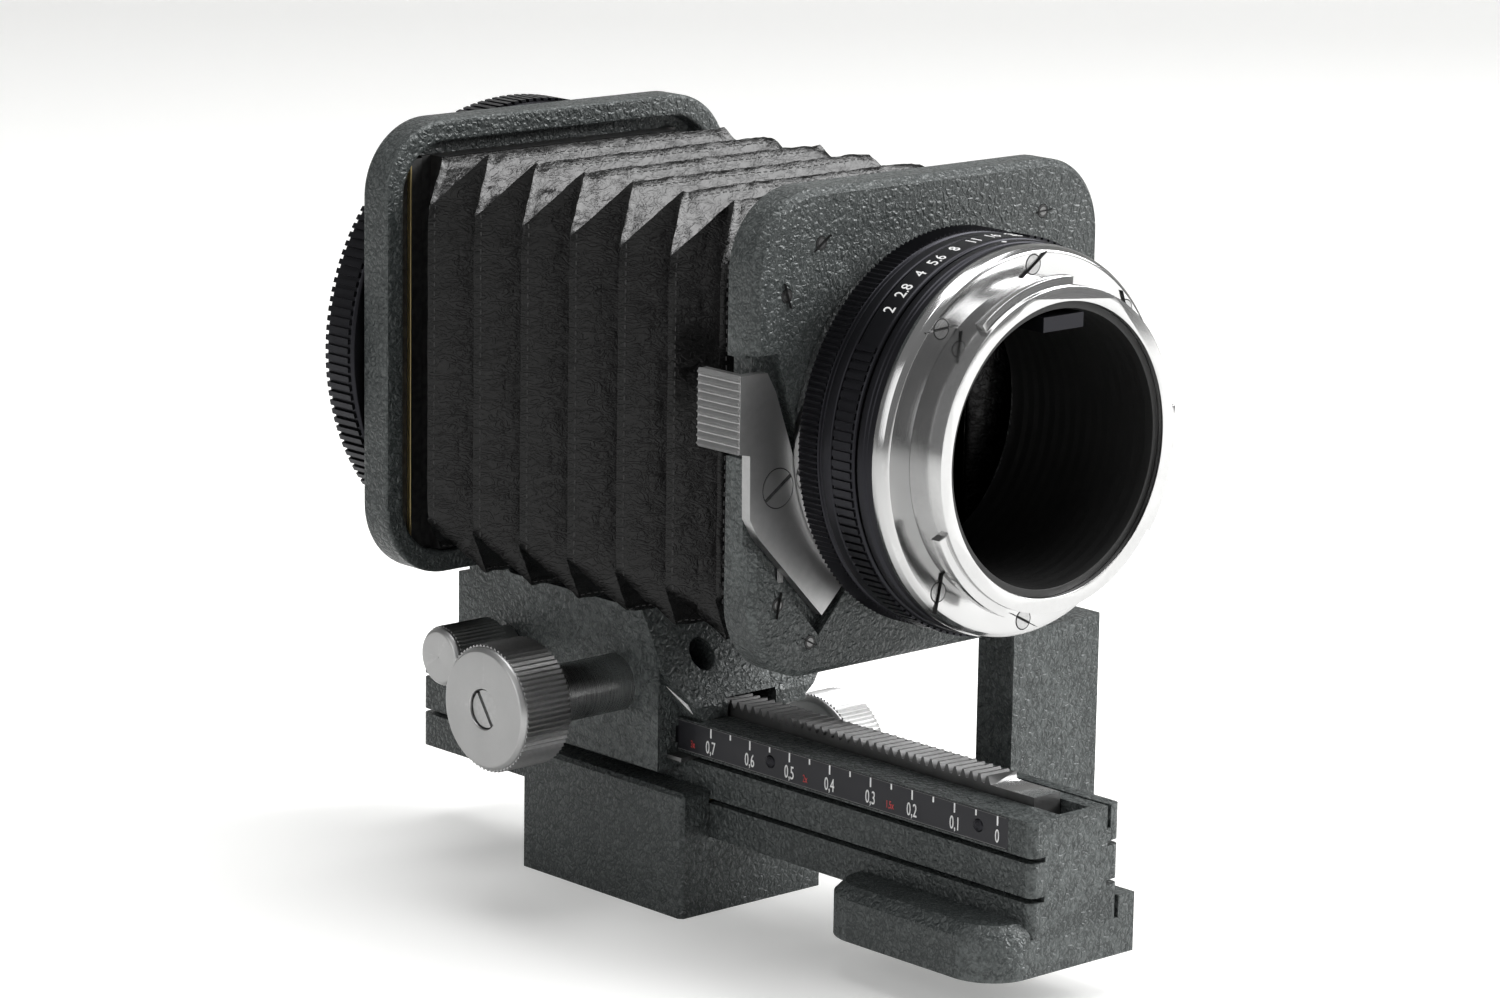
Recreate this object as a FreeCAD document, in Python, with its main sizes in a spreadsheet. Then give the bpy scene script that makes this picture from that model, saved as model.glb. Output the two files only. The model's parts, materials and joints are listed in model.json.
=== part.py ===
import FreeCAD, Part
import math
import os

import Sketcher

# Macro bellows unit in millimetres. +X is right, +Y is away from the camera mount, +Z is up.
# The origin is the middle of the tripod block's underside.

DOC = FreeCAD.newDocument("MacroBellowsUnit")
SHEET = DOC.addObject("Spreadsheet::Sheet", "Sizes")

SIZES = {
    # Rail
    "rail_width": 20.3,
    "rail_rear": 57.0,
    "rail_length": 155.0,
    "rail_bottom": 13.6,
    "rail_height": 19.4,
    "rail_corner": 1.5,
    "groove_height": 0.9,
    "groove_depth": 3.0,
    "lower_groove_up": 6.4,
    "upper_groove_up": 13.0,
    "pocket_left": 2.85,
    "pocket_right": 4.05,
    "pocket_depth": 3.0,
    "pocket_end_wall": 1.5,
    "slit_from_centre": 6.95,
    "slit_width": 0.8,
    "slit_depth": 3.8,
    # Rack and pinion
    "rack_width": 6.0,
    "rack_start": 7.5,
    "rack_pad": 9.5,
    "rack_rear_gap": 3.0,
    "rack_pad_rise": 1.1,
    "tooth_module": 0.6,
    "tooth_backlash": 0.12,
    "rack_skew": 6.0,
    "pinion_teeth": 9,
    "shaft_radius": 1.6,
    "mesh_clearance": 0.1,
    # Scale plate
    "scale_start": 5.6,
    "scale_length": 107.0,
    "scale_drop": 0.2,
    "scale_height": 5.4,
    "scale_thickness": 0.5,
    "scale_screw_radius": 1.2,
    "scale_relief": 0.6,
    # Front foot
    "foot_left": 19.2,
    "foot_right": 13.9,
    "foot_length": 41.0,
    "foot_bottom": 7.3,
    "foot_left_top": 16.3,
    "foot_right_top": 17.3,
    "foot_round": 8.0,
    "foot_edge": 1.9,
    # Tripod block and its clamp
    "block_width": 32.9,
    "block_length": 42.4,
    "block_height": 22.1,
    "block_edge": 0.7,
    "tongue_thickness": 0.7,
    "tongue_reach": 2.7,
    "tongue_seat": 2.5,
    "socket_radius": 2.6,
    "bush_radius": 6.5,
    "bush_depth": 8.0,
    "clamp_up": 15.6,
    "clamp_screw_radius": 3.0,
    "clamp_shoe_thickness": 1.6,
    "clamp_shoe_radius": 2.9,
    "clamp_knob_start": 33.0,
    "clamp_knob_radius": 11.5,
    "clamp_knob_length": 9.5,
    "clamp_stem_radius": 4.6,
    # Running clearances
    "slide_gap": 0.1,
    "turn_gap": 0.05,
    "free_gap": 0.3,
    # Fixed front standard
    "plate_inset": 36.0,
    "plate_thickness": 6.5,
    "plate_width": 77.7,
    "plate_bottom": 52.6,
    "plate_top": 132.1,
    "plate_corner": 13.0,
    "plate_edge": 1.1,
    "axis_up": 91.4,
    "plate_hole_radius": 25.5,
    "post_left": 21.15,
    "post_right": 42.75,
    "post_thickness": 8.4,
    "post_bottom": 17.6,
    "gusset_right": 31.5,
    "gusset_rise": 6.0,
    "arm_top": 23.8,
    # Release lever
    "lever_pivot_in": 5.4,
    "lever_pivot_up": 84.7,
    "lever_pivot_radius": 3.3,
    "lever_thickness": 1.9,
    "lever_recess_depth": 2.3,
    "lever_tab_out": 3.0,
    "lever_tab_low": 91.2,
    "lever_tab_high": 103.7,
    "lever_tab_length": 10.0,
    "lever_tab_wall": 1.8,
    # Seat ring and adapter
    "seat_radius": 30.5,
    "seat_length": 3.0,
    "adapter_radius": 32.6,
    "rear_knurl_length": 5.0,
    "barrel_length": 8.0,
    "aperture_length": 5.1,
    "step_length": 3.5,
    "step_radius": 32.2,
    "flange_length": 2.9,
    "flange_radius": 32.0,
    "flange_bevel": 1.6,
    "adapter_bore": 24.6,
    "tube_inner_radius": 22.6,
    "rim_radius": 26.4,
    "rim_length": 7.0,
    "rim_inner_radius": 24.0,
    "lug_height": 1.5,
    "lug_length": 2.0,
    "lug_span": 44.0,
    "flange_screw_circle": 29.0,
    # Bellows and far frame
    "bellows_pitches": 7,
    "tray_lip": 31.0,
    "tray_rear": 37.5,
    "tray_width": 78.0,
    "tray_bottom": 52.8,
    "tray_height": 79.5,
    "tray_wall": 3.8,
    "tray_floor": 2.5,
    "tray_hole_radius": 31.0,
    "ridge_half_height": 36.5,
    "ridge_half_width": 35.0,
    "valley_half_height": 27.5,
    "valley_half_width": 27.0,
    "bellows_wall": 1.1,
    "bellows_inset": 2.0,
    "bellows_board": 1.0,
    # Rear ring
    "ring_up": 91.6,
    "ring_radius": 41.3,
    "ring_gap": 1.0,
    "ring_length": 7.1,
    "ring_inner_radius": 34.0,
    "carrier_radius": 33.7,
    "carrier_inner_radius": 30.0,
    # Carriage
    "carriage_front": 17.8,
    "carriage_rear": 40.8,
    "carriage_half_width": 14.9,
    "carriage_bottom": 24.2,
    "nose_up": 35.6,
    "nose_lean": 0.57,
    "carriage_top": 51.8,
    "shoulder_start": 27.5,
    "cheek_front": 13.0,
    "nose_side_low": 9.1,
    "nose_side_high": 42.3,
    "arch_left": 3.2,
    "arch_right": 8.0,
    "arch_top": 36.3,
    "flare_low": 34.0,
    "flare_high": 38.5,
    "flare_half_width": 20.4,
    "boss_hole_radius": 2.65,
    "boss_hole_left": 5.3,
    "boss_hole_up": 43.5,
    # Focus drive
    "pinion_back": 1.9,
    "sleeve_radius": 5.0,
    "sleeve_end": 33.5,
    "focus_knob_radius": 10.9,
    "focus_knob_length": 10.65,
    "focus_knob_bevel": 1.4,
    "focus_flutes": 36,
    "flute_depth": 0.6,
    # Lock
    "lock_rear": 26.5,
    "lock_up": 39.1,
    "lock_knob_radius": 5.25,
    "lock_knob_length": 12.0,
    "lock_knob_gap": 4.2,
    "lock_shaft_radius": 2.0,
    "lock_shoe_width": 2.4,
}

for row, (alias, number) in enumerate(SIZES.items(), start=1):
    SHEET.set(f"A{row}", alias)
    SHEET.set(f"B{row}", str(number))
    SHEET.setAlias(f"B{row}", alias)
DOC.recompute()


class Size:
    """A number together with the expression that it comes from."""

    def __init__(self, text, number):
        self.text = text
        self.number = float(number)

    def joined(self, sign, other, number):
        """Return the sum, difference, product or quotient with another size or number."""
        return Size(f"({self.text} {sign} {text_of(other)})", number)

    def __add__(self, other):
        return self.joined("+", other, self.number + number_of(other))

    def __sub__(self, other):
        return self.joined("-", other, self.number - number_of(other))

    def __mul__(self, other):
        return self.joined("*", other, self.number * number_of(other))

    def __truediv__(self, other):
        return self.joined("/", other, self.number / number_of(other))

    def __neg__(self):
        return Size(f"(0 - {self.text})", -self.number)


def text_of(amount):
    """Return the expression of a size, or the digits of a plain number."""
    return amount.text if isinstance(amount, Size) else repr(float(amount))


def number_of(amount):
    """Return the value of a size or of a plain number."""
    return amount.number if isinstance(amount, Size) else float(amount)


def size(alias):
    """Return one of the sheet's sizes."""
    return Size(f"Sizes.{alias}", SHEET.get(alias))


def tie(thing, prop, amount):
    """Make a property follow a size."""
    thing.setExpression(prop, text_of(amount))


def place(thing, x, y, z):
    """Put a piece's own origin at a point."""
    for letter, amount in zip("xyz", (x, y, z)):
        tie(thing, f"Placement.Base.{letter}", amount)
    return thing


def box(name, x, y, z):
    """Return a block that lies between two limits along each axis."""
    solid = DOC.addObject("Part::Box", name)
    for prop, (low, high) in zip(("Length", "Width", "Height"), (x, y, z)):
        tie(solid, prop, as_size(high) - low)
    return place(solid, x[0], y[0], z[0])


def as_size(amount):
    """Return a size, also for a plain number."""
    return amount if isinstance(amount, Size) else Size(repr(float(amount)), amount)


TURNS = {
    "X": FreeCAD.Rotation(FreeCAD.Vector(0, 1, 0), 90),
    "Y": FreeCAD.Rotation(FreeCAD.Vector(1, 0, 0), -90),
    "Z": FreeCAD.Rotation(),
}


def rod(name, axis, start, stop, radius, across, along_up):
    """Return a cylinder along an axis, centred on two coordinates across it."""
    solid = DOC.addObject("Part::Cylinder", name)
    solid.Placement = FreeCAD.Placement(FreeCAD.Vector(), TURNS[axis])
    tie(solid, "Radius", radius)
    tie(solid, "Height", as_size(stop) - start)
    where = {"X": (start, across, along_up), "Y": (across, start, along_up), "Z": (across, along_up, start)}
    return place(solid, *where[axis])


def joined(name, *solids):
    """Return the union of several solids."""
    union = DOC.addObject("Part::MultiFuse", name)
    union.Shapes = list(solids)
    union.Refine = True
    return union


def cut(name, base, *tools):
    """Return a solid with one or more tools taken away."""
    result = DOC.addObject("Part::Cut", name)
    result.Base = base
    result.Tool = tools[0] if len(tools) == 1 else joined(f"{name}_tools", *tools)
    result.Refine = True
    return result


def shared(name, first, second):
    """Return what two solids have in common."""
    result = DOC.addObject("Part::MultiCommon", name)
    result.Shapes = [first, second]
    result.Refine = True
    return result


def group(name, solids):
    """Return a group of separate solids, such as identical screws."""
    several = DOC.addObject("Part::Compound", name)
    several.Links = list(solids)
    return several


def softened(name, base, radius, chosen):
    """Round the edges of a solid that the test picks out."""
    DOC.recompute()
    result = DOC.addObject("Part::Fillet", name)
    result.Base = base
    edges = enumerate(base.Shape.Edges, start=1)
    result.Edges = [(index, radius, radius) for index, edge in edges if chosen(edge)]
    return result


def bevelled(name, base, width, chosen):
    """Bevel the edges of a solid that the test picks out."""
    DOC.recompute()
    result = DOC.addObject("Part::Chamfer", name)
    result.Base = base
    edges = enumerate(base.Shape.Edges, start=1)
    result.Edges = [(index, width, width) for index, edge in edges if chosen(edge)]
    return result


def new_sketch(body, role, lift, name):
    """Start a sketch on one of a body's own planes, moved along the plane's normal."""
    sketch = body.newObject("Sketcher::SketchObject", name)
    plane = next(item for item in body.Origin.OriginFeatures if item.Role == role)
    sketch.AttachmentSupport = [(plane, "")]
    sketch.MapMode = "FlatFace"
    tie(sketch, "AttachmentOffset.Base.z", lift)
    return sketch


def draw(sketch, points):
    """Draw a closed outline whose corners follow sizes."""
    corners = [FreeCAD.Vector(number_of(x), number_of(y), 0) for x, y in points]
    count = len(corners)
    sketch.addGeometry([Part.LineSegment(corners[i], corners[(i + 1) % count]) for i in range(count)])
    for i in range(count):
        sketch.addConstraint(Sketcher.Constraint("Coincident", i, 2, (i + 1) % count, 1))
    for i, (x, y) in enumerate(points):
        for kind, amount in (("DistanceX", x), ("DistanceY", y)):
            index = sketch.addConstraint(Sketcher.Constraint(kind, -1, 1, i, 1, number_of(amount)))
            if isinstance(amount, Size):
                tie(sketch, f"Constraints[{index}]", amount)


PLANES = {"X": "YZ_Plane", "Y": "XZ_Plane", "Z": "XY_Plane"}


def slab(name, axis, low, high, points):
    """Return an outline drawn across an axis and thickened between two limits along it."""
    body = DOC.addObject("PartDesign::Body", name)
    lift = -as_size(high) if axis == "Y" else as_size(low)
    sketch = new_sketch(body, PLANES[axis], lift, f"{name}_outline")
    draw(sketch, points)
    pad = body.newObject("PartDesign::Pad", f"{name}_pad")
    pad.Profile = sketch
    tie(pad, "Length", as_size(high) - low)
    body.Tip = pad
    return body


def turned(name, axis, profile, x, y, z):
    """Return a piece turned about an axis through a point, from (along, radius) corners."""
    body = DOC.addObject("PartDesign::Body", name)
    role, line = {"X": ("XZ_Plane", "H_Axis"), "Y": ("YZ_Plane", "H_Axis"), "Z": ("XZ_Plane", "V_Axis")}[axis]
    sketch = new_sketch(body, role, 0, f"{name}_profile")
    draw(sketch, [(radius, along) if axis == "Z" else (along, radius) for along, radius in profile])
    spin = body.newObject("PartDesign::Revolution", f"{name}_turning")
    spin.Profile = sketch
    spin.ReferenceAxis = (sketch, [line])
    spin.Angle = 360
    body.Tip = spin
    return place(body, x, y, z)


def tube(name, axis, start, stop, outer, inner, across, along_up):
    """Return a plain ring."""
    profile = [(0, inner), (as_size(stop) - start, inner), (as_size(stop) - start, outer), (0, outer)]
    where = {"X": (start, across, along_up), "Y": (across, start, along_up), "Z": (across, along_up, start)}
    return turned(name, axis, profile, *where[axis])


def upright(name, half_width, low, high, corner, front, rear):
    """Return an upright plate with rounded corners between two planes across Y."""
    half = as_size(half_width)
    plate = box(f"{name}_square", (-half, half), (front, rear), (low, high))
    return softened(name, plate, number_of(corner), lambda edge: runs_along(edge, ALONG_Y))


NODES = []


def keep(node, solid):
    """Name a finished piece."""
    solid.Label = node
    NODES.append(solid)
    return solid


def runs_along(edge, axis):
    """Tell whether a straight edge runs along an axis."""
    if edge.Curve.TypeId != "Part::GeomLine":
        return False
    return abs(abs(edge.tangentAt(edge.FirstParameter).dot(axis)) - 1) < 1e-6


ALONG_X = FreeCAD.Vector(1, 0, 0)
ALONG_Y = FreeCAD.Vector(0, 1, 0)
ALONG_Z = FreeCAD.Vector(0, 0, 1)

# Levels and planes that several pieces share.

rail_half = size("rail_width") / 2
rail_rear = size("rail_rear")
rail_front = rail_rear - size("rail_length")
rail_bottom = size("rail_bottom")
rail_top = rail_bottom + size("rail_height")
lower_groove = rail_bottom + size("lower_groove_up")
upper_groove = rail_bottom + size("upper_groove_up")
slide_gap = size("slide_gap")
turn_gap = size("turn_gap")
free_gap = size("free_gap")
axis_up = size("axis_up")
plate_front = rail_front + size("plate_inset")
plate_rear = plate_front + size("plate_thickness")


def rail():
    """The square rail with its guide grooves, rack pocket, scale seat and slit."""
    bar = box("rail_bar", (-rail_half, rail_half), (rail_front, rail_rear), (rail_bottom, rail_top))
    bar = softened("rail_rounded", bar, number_of(size("rail_corner")), lambda edge: runs_along(edge, ALONG_Z))
    tools = []
    half_groove = size("groove_height") / 2
    for level, label in ((lower_groove, "low"), (upper_groove, "high")):
        for side, tag in ((-1, "left"), (1, "right")):
            inner = rail_half - size("groove_depth")
            span = (inner, rail_half + 1) if side > 0 else (-rail_half - 1, -inner)
            ends = (rail_front - 1, rail_rear + 1)
            tools.append(box(f"groove_{label}_{tag}", span, ends, (level - half_groove, level + half_groove)))
    pocket_floor = rail_top - size("pocket_depth")
    pocket = (-size("pocket_left"), size("pocket_right"))
    pocket_run = (rail_front + size("pocket_end_wall"), rail_rear + 1)
    tools.append(box("rack_pocket", pocket, pocket_run, (pocket_floor, rail_top + 1)))
    slit = (size("slit_from_centre"), size("slit_from_centre") + size("slit_width"))
    tools.append(box("slit", slit, (rail_front - 1, rail_rear + 1), (rail_top - size("slit_depth"), rail_top + 1)))
    scale = scale_limits()
    tools.append(box("scale_seat", (scale[0][0] - 1, scale[0][1]), scale[1], scale[2]))
    keep("rail", cut("rail_machined", bar, *tools))


def scale_limits():
    """The seat of the scale plate, as its limits along each axis."""
    front = rail_front + size("scale_start")
    high = rail_top - size("scale_drop")
    across = (-rail_half, -rail_half + size("scale_thickness"))
    return across, (front, front + size("scale_length")), (high - size("scale_height"), high)


def scale_plate():
    """The scale plate let into the rail's left side, and its two screws."""
    across, along, levels = scale_limits()
    plate = box("scale_blank", across, along, levels)
    middle = levels[0] + size("scale_height") / 2
    radius = size("scale_screw_radius")
    screws = []
    holes = []
    for number, share in enumerate((0.063, 0.525)):
        where = along[0] + size("scale_length") * share
        screws.append(rod(f"scale_screw_{number}", "X", across[0] - 0.3, across[1], radius, where, middle))
        holes.append(rod(f"scale_hole_{number}", "X", across[0] - 1, across[1] + 1, radius, where, middle))
    keep("scale_plate", cut("scale_drilled", plate, *holes))
    keep("scale_screws", group("scale_screw_pair", screws))


def rack_limits():
    """The rack's edges across the rail and its ends along it."""
    left = (size("pocket_right") - size("pocket_left")) / 2 - size("rack_width") / 2
    front = rail_front + size("rack_start")
    return left, front, rail_rear - size("rack_rear_gap")


module = size("tooth_module")
pitch = module * math.pi
tooth_top = rail_top + 2.7
pitch_line = tooth_top - module
pinion_radius = module * size("pinion_teeth") / 2
pinion_up = pitch_line + pinion_radius
pinion_along = -size("pinion_back")


def prism(outline, direction):
    """Return a flat outline of points drawn out along a vector."""
    wire = Part.makePolygon(outline + outline[:1])
    return Part.Face(wire).extrude(direction)


def rack():
    """The skew-cut rack and the two screws that hold it in the rail."""
    left, front, rear = (number_of(limit) for limit in rack_limits())
    width = number_of(size("rack_width"))
    floor = number_of(rail_top - size("pocket_depth"))
    root = number_of(tooth_top - module * 2.25)
    top = number_of(tooth_top)
    pad_top = number_of(rail_top + size("rack_pad_rise"))
    pad_end = front + number_of(size("rack_pad"))
    step = number_of(pitch)
    thin = number_of(size("tooth_backlash")) / 2
    slope = math.tan(math.radians(20))
    lean = width * math.tan(math.radians(number_of(size("rack_skew"))))
    corner = FreeCAD.Vector(left, front, floor)
    blank = Part.makeBox(width, rear - front, root - floor, corner)
    pad = Part.makeBox(width, pad_end - front, pad_top - floor, corner)
    bound = Part.makeBox(width, rear - pad_end - 0.4, top - floor, FreeCAD.Vector(left, pad_end + 0.4, floor))
    middle = number_of(pitch_line)
    centre = number_of(pinion_along)
    first = math.ceil((pad_end - centre + 0.4 - step) / step)
    last = math.floor((rear - centre + step) / step)
    teeth = []
    for count in range(first, last + 1):
        along = centre + (count + 0.5) * step + lean / 2
        profile = []
        for side, level in ((-1, root - 0.2), (-1, top), (1, top), (1, root - 0.2)):
            half = step / 4 - thin - (level - middle) * slope
            profile.append(FreeCAD.Vector(left, along + side * half, level))
        teeth.append(prism(profile, FreeCAD.Vector(width, -lean, 0)))
    comb = Part.makeCompound(teeth).common(bound)
    solid = blank.multiFuse([pad] + comb.Solids).removeSplitter()
    screws = []
    mid = left + width / 2
    for number, (along, level) in enumerate(((front + 4.5, pad_top), (rear - 4.5, root))):
        head = Part.makeCone(1.5, 2.4, 1.2, FreeCAD.Vector(mid, along, level - 1.2), ALONG_Z)
        shank = Part.makeCylinder(1.5, level - 1.2 - floor, FreeCAD.Vector(mid, along, floor), ALONG_Z)
        screw = head.fuse(shank)
        solid = solid.cut(screw)
        slot = Part.makeBox(5, 0.6, 0.5, FreeCAD.Vector(mid - 2.5, along - 0.3, level - 0.5))
        screws.append(screw.cut(slot))
    feature = DOC.addObject("Part::Feature", "rack_bar")
    feature.Shape = solid
    keep("rack", feature)
    pair = DOC.addObject("Part::Feature", "rack_screw_pair")
    pair.Shape = Part.makeCompound(screws)
    keep("rack_screws", pair)


def front_foot():
    """The foot that wraps the rail's front end, with a rounded flange on the left."""
    left = -size("foot_left")
    right = size("foot_right")
    rear = rail_front + size("foot_length")
    bottom = size("foot_bottom")
    low = box("foot_left_block", (left, 0), (rail_front, rear), (bottom, size("foot_left_top")))
    radius = number_of(size("foot_round"))
    edge_x = number_of(left)
    low = softened("foot_corners", low, radius,
                   lambda edge: runs_along(edge, ALONG_Z) and abs(edge.CenterOfMass.x - edge_x) < 0.01)
    level = number_of(size("foot_left_top"))
    low = bevelled("foot_edge_bevel", low, number_of(size("foot_edge")),
                   lambda edge: abs(edge.CenterOfMass.z - level) < 0.01 and edge.CenterOfMass.x < -1)
    high = box("foot_right_block", (0, right), (rail_front, rear), (bottom, size("foot_right_top")))
    notch = box("foot_notch", (-rail_half, rail_half), (rail_front - 1, rear + 1), (rail_bottom, rail_top))
    screws = []
    holes = []
    for number, share in enumerate((0.25, 0.75)):
        along = rail_front + size("foot_length") * share
        profile = [(bottom, 0), (bottom, 3.6), (bottom + 2, 2), (rail_bottom, 2), (rail_bottom, 0)]
        screws.append(turned(f"foot_screw_{number}", "Z", profile, 0, along, 0))
        holes.append(turned(f"foot_hole_{number}", "Z", profile, 0, along, 0))
    keep("front_foot", cut("foot_machined", joined("foot_body", low, high), notch, *holes))
    keep("foot_screws", group("foot_screw_pair", screws))


def tripod_block():
    """The clamping block that holds the rail, with its threaded bush, tongues, shoe and knob."""
    half = size("block_width") / 2
    end = size("block_length") / 2
    top = size("block_height")
    body = box("block_blank", (-half, half), (-end, end), (0, top))
    body = bevelled("block_bevelled", body, number_of(size("block_edge")),
                    lambda edge: runs_along(edge, ALONG_Z) or edge.CenterOfMass.z > number_of(top) - 0.01)
    channel = (-rail_half - slide_gap, rail_half + slide_gap)
    along = (-end - 1, end + 1)
    notch = box("block_channel", channel, along, (rail_bottom - slide_gap, top + 1))
    bush_hole = rod("bush_hole", "Z", -1, size("bush_depth"), size("bush_radius"), 0, 0)
    drill = rod("bush_drill", "Z", -1, rail_bottom - 2, size("socket_radius"), 0, 0)
    up = size("clamp_up")
    shoe_start = rail_half + slide_gap
    shoe_end = shoe_start + size("clamp_shoe_thickness")
    screw_hole = rod("clamp_hole", "X", shoe_end, half + 1, size("clamp_screw_radius") + turn_gap, 0, up)
    shoe_hole = rod("shoe_hole", "X", shoe_start - 1, shoe_end, size("clamp_shoe_radius"), 0, up)
    tongue_half = size("tongue_thickness") / 2
    levels = (lower_groove - tongue_half, lower_groove + tongue_half)
    reach = rail_half - size("tongue_reach")
    seat = rail_half + slide_gap + size("tongue_seat")
    run = (-end + 1, end - 1)
    tongues = [box("tongue_right", (reach, seat), run, levels), box("tongue_left", (-seat, -reach), run, levels)]
    seats = [box("tongue_seat_right", (reach, seat), run, levels), box("tongue_seat_left", (-seat, -reach), run, levels)]
    keep("tripod_block", cut("block_machined", body, notch, bush_hole, drill, screw_hole, shoe_hole, *seats))
    keep("block_gibs", group("block_tongues", tongues))
    keep("tripod_bush", tube("bush", "Z", 0, size("bush_depth"), size("bush_radius"), size("socket_radius"), 0, 0))
    keep("clamp_shoe", rod("shoe", "X", shoe_start, shoe_end - 0.1, size("clamp_shoe_radius") - 0.05, 0, up))
    knob_start = size("clamp_knob_start")
    radius = size("clamp_knob_radius")
    length = size("clamp_knob_length")
    stem = size("clamp_stem_radius")
    screw = size("clamp_screw_radius")
    profile = [(shoe_end, 0), (shoe_end, screw), (half + free_gap, screw), (half + free_gap, stem)]
    profile += [(knob_start, stem), (knob_start, 0)]
    keep("clamp_screw", turned("clamp_spindle", "X", profile, 0, 0, up))
    disc = [(0, 0), (0, radius - 0.8), (0.8, radius), (length - 1.2, radius), (length, radius - 1.2), (length, 0)]
    keep("clamp_knob", turned("clamp_disc", "X", disc, knob_start, 0, up))


SET_SCREWS = ((-0.3211, 0.8893), (-0.4151, 0.7925), (0.3224, 0.8931), (-0.4254, 0.1623), (-0.3327, 0.0717))


def front_standard():
    """The fixed plate, its post and the arm that joins them to the rail."""
    half = size("plate_width") / 2
    low = size("plate_bottom")
    high = size("plate_top")
    plate = upright("plate_blank", half, low, high, size("plate_corner"), plate_front, plate_rear)
    front = number_of(plate_front)
    plate = bevelled("plate_edges", plate, number_of(size("plate_edge")),
                     lambda edge: abs(edge.CenterOfMass.y - front) < 0.01)
    post_run = (plate_front, plate_front + size("post_thickness"))
    post = box("post", (size("post_left"), size("post_right")), post_run, (size("post_bottom"), low))
    far = number_of(size("post_right"))
    post = bevelled("post_edges", post, 1.0,
                    lambda edge: runs_along(edge, ALONG_Z) and edge.CenterOfMass.x > far - 0.01)
    gusset = box("gusset", (size("post_left"), size("gusset_right")), (plate_front + size("plate_edge"), plate_rear),
                 (low - 1, low + size("gusset_rise")))
    arm = box("arm", (rail_half, size("post_left") + 1), post_run, (size("post_bottom"), size("arm_top")))
    casting = joined("standard_casting", plate, post, gusset, arm)
    tools = [rod("light_hole", "Y", plate_front - 1, plate_rear + 1, size("plate_hole_radius"), 0, axis_up)]
    tools.append(slab("lever_recess", "Y", plate_front - 1, plate_front + size("lever_recess_depth"), recess_outline()))
    notch_right = -half - size("lever_tab_out") + size("lever_tab_wall") * 2.45
    notch = (size("lever_tab_low") - 1.5, size("lever_tab_high") + 2.2)
    tools.append(box("tab_notch", (-half - 2, notch_right), (plate_front - 1, plate_rear + 1), notch))
    screws = []
    for number, (x, z) in enumerate(on_plate(SET_SCREWS)):
        tools.append(rod(f"set_hole_{number}", "Y", plate_front - 1, plate_front + 3, 1.2, x, z))
        screws.append(rod(f"set_screw_{number}", "Y", plate_front + 0.6, plate_front + 3, 1.2, x, z))
    pivot = lever_pivot()
    tools.append(rod("pivot_hole", "Y", plate_front, plate_front + 5, 1.5, *pivot))
    fixing = []
    for number, share in enumerate((0.28, 0.72)):
        along = plate_front + size("post_thickness") * share
        up = (size("post_bottom") + size("arm_top")) / 2
        tools.append(rod(f"fixing_hole_{number}", "X", rail_half, size("post_right") + 1, 1.5, along, up))
        fixing.append(rod(f"fixing_screw_{number}", "X", rail_half, size("post_right") - 1, 1.5, along, up))
    keep("front_standard", cut("standard_machined", casting, *tools))
    keep("standard_screws", group("standard_screw_pair", fixing))
    keep("plate_set_screws", group("set_screws", screws))


def on_plate(shares):
    """Return places on the plate from shares of its width and of its height."""
    low = size("plate_bottom")
    height = size("plate_top") - low
    return [(size("plate_width") * across, low + height * up) for across, up in shares]


def lever_pivot():
    """The release lever's pivot on the plate, as (x, z)."""
    return size("lever_pivot_in") - size("plate_width") / 2, size("lever_pivot_up")


def recess_outline():
    """The corners of the recess that the release lever swings in, as (x, z) on the plate."""
    return on_plate([(-0.5792, 0.678), (-0.4363, 0.678), (-0.3629, 0.4516), (-0.314, 0.3145), (-0.2857, 0.2616),
                     (-0.2265, 0.1736), (-0.3089, 0.083), (-0.5097, 0.3006), (-0.5792, 0.3258)])


def release_lever():
    """The sprung lever with its folded thumb tab, its pivot screw and its leaf spring."""
    blade_front = plate_front
    blade_rear = plate_front + size("lever_thickness")
    left = -size("plate_width") / 2 - size("lever_tab_out")
    high = size("lever_tab_high")
    low = size("lever_tab_low")
    edge = on_plate([(-0.4653, 0.6428), (-0.4408, 0.6013), (-0.4035, 0.5031), (-0.3764, 0.4289), (-0.3481, 0.3409),
                     (-0.3147, 0.2642), (-0.2902, 0.2377), (-0.2426, 0.1786), (-0.3005, 0.1233), (-0.482, 0.3069),
                     (-0.5071, 0.3484), (-0.5097, 0.4792)])
    outline = [(left, high)] + edge + [(left, low)]
    blade = slab("lever_blade", "Y", blade_front, blade_rear, outline)
    wall = size("lever_tab_wall")
    tab = box("lever_tab", (left, left + wall), (blade_front, blade_front + size("lever_tab_length")), (low, high))
    pivot = lever_pivot()
    bore = rod("lever_bore", "Y", blade_front - 1, blade_rear + 1, size("lever_pivot_radius") + turn_gap, *pivot)
    keep("release_lever", cut("lever_drilled", joined("lever_blank", blade, tab), bore))
    head = size("lever_pivot_radius")
    depth = size("lever_recess_depth")
    profile = [(0, 0), (0, head), (depth, head), (depth, 1.5), (5, 1.5), (5, 0)]
    keep("lever_pivot_screw", turned("pivot_screw", "Y", profile, pivot[0], plate_front, pivot[1]))
    spring_depth = (blade_rear + turn_gap, plate_front + depth)
    corners = on_plate([(-0.4054, 0.2), (-0.3887, 0.3509)])
    levels = (corners[0][1], corners[1][1])
    keep("lever_spring", box("leaf_spring", (corners[0][0], corners[1][0]), spring_depth, levels))


def seat_ring():
    """The bright ring in front of the plate that the adapter seats on, with its stop tab."""
    front = plate_front - size("seat_length")
    radius = size("seat_radius")
    inner = size("plate_hole_radius") - 0.9
    ring = tube("seat_ring_body", "Y", front, plate_front, radius, inner, 0, axis_up)
    keep("lens_seat_ring", ring)


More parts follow.
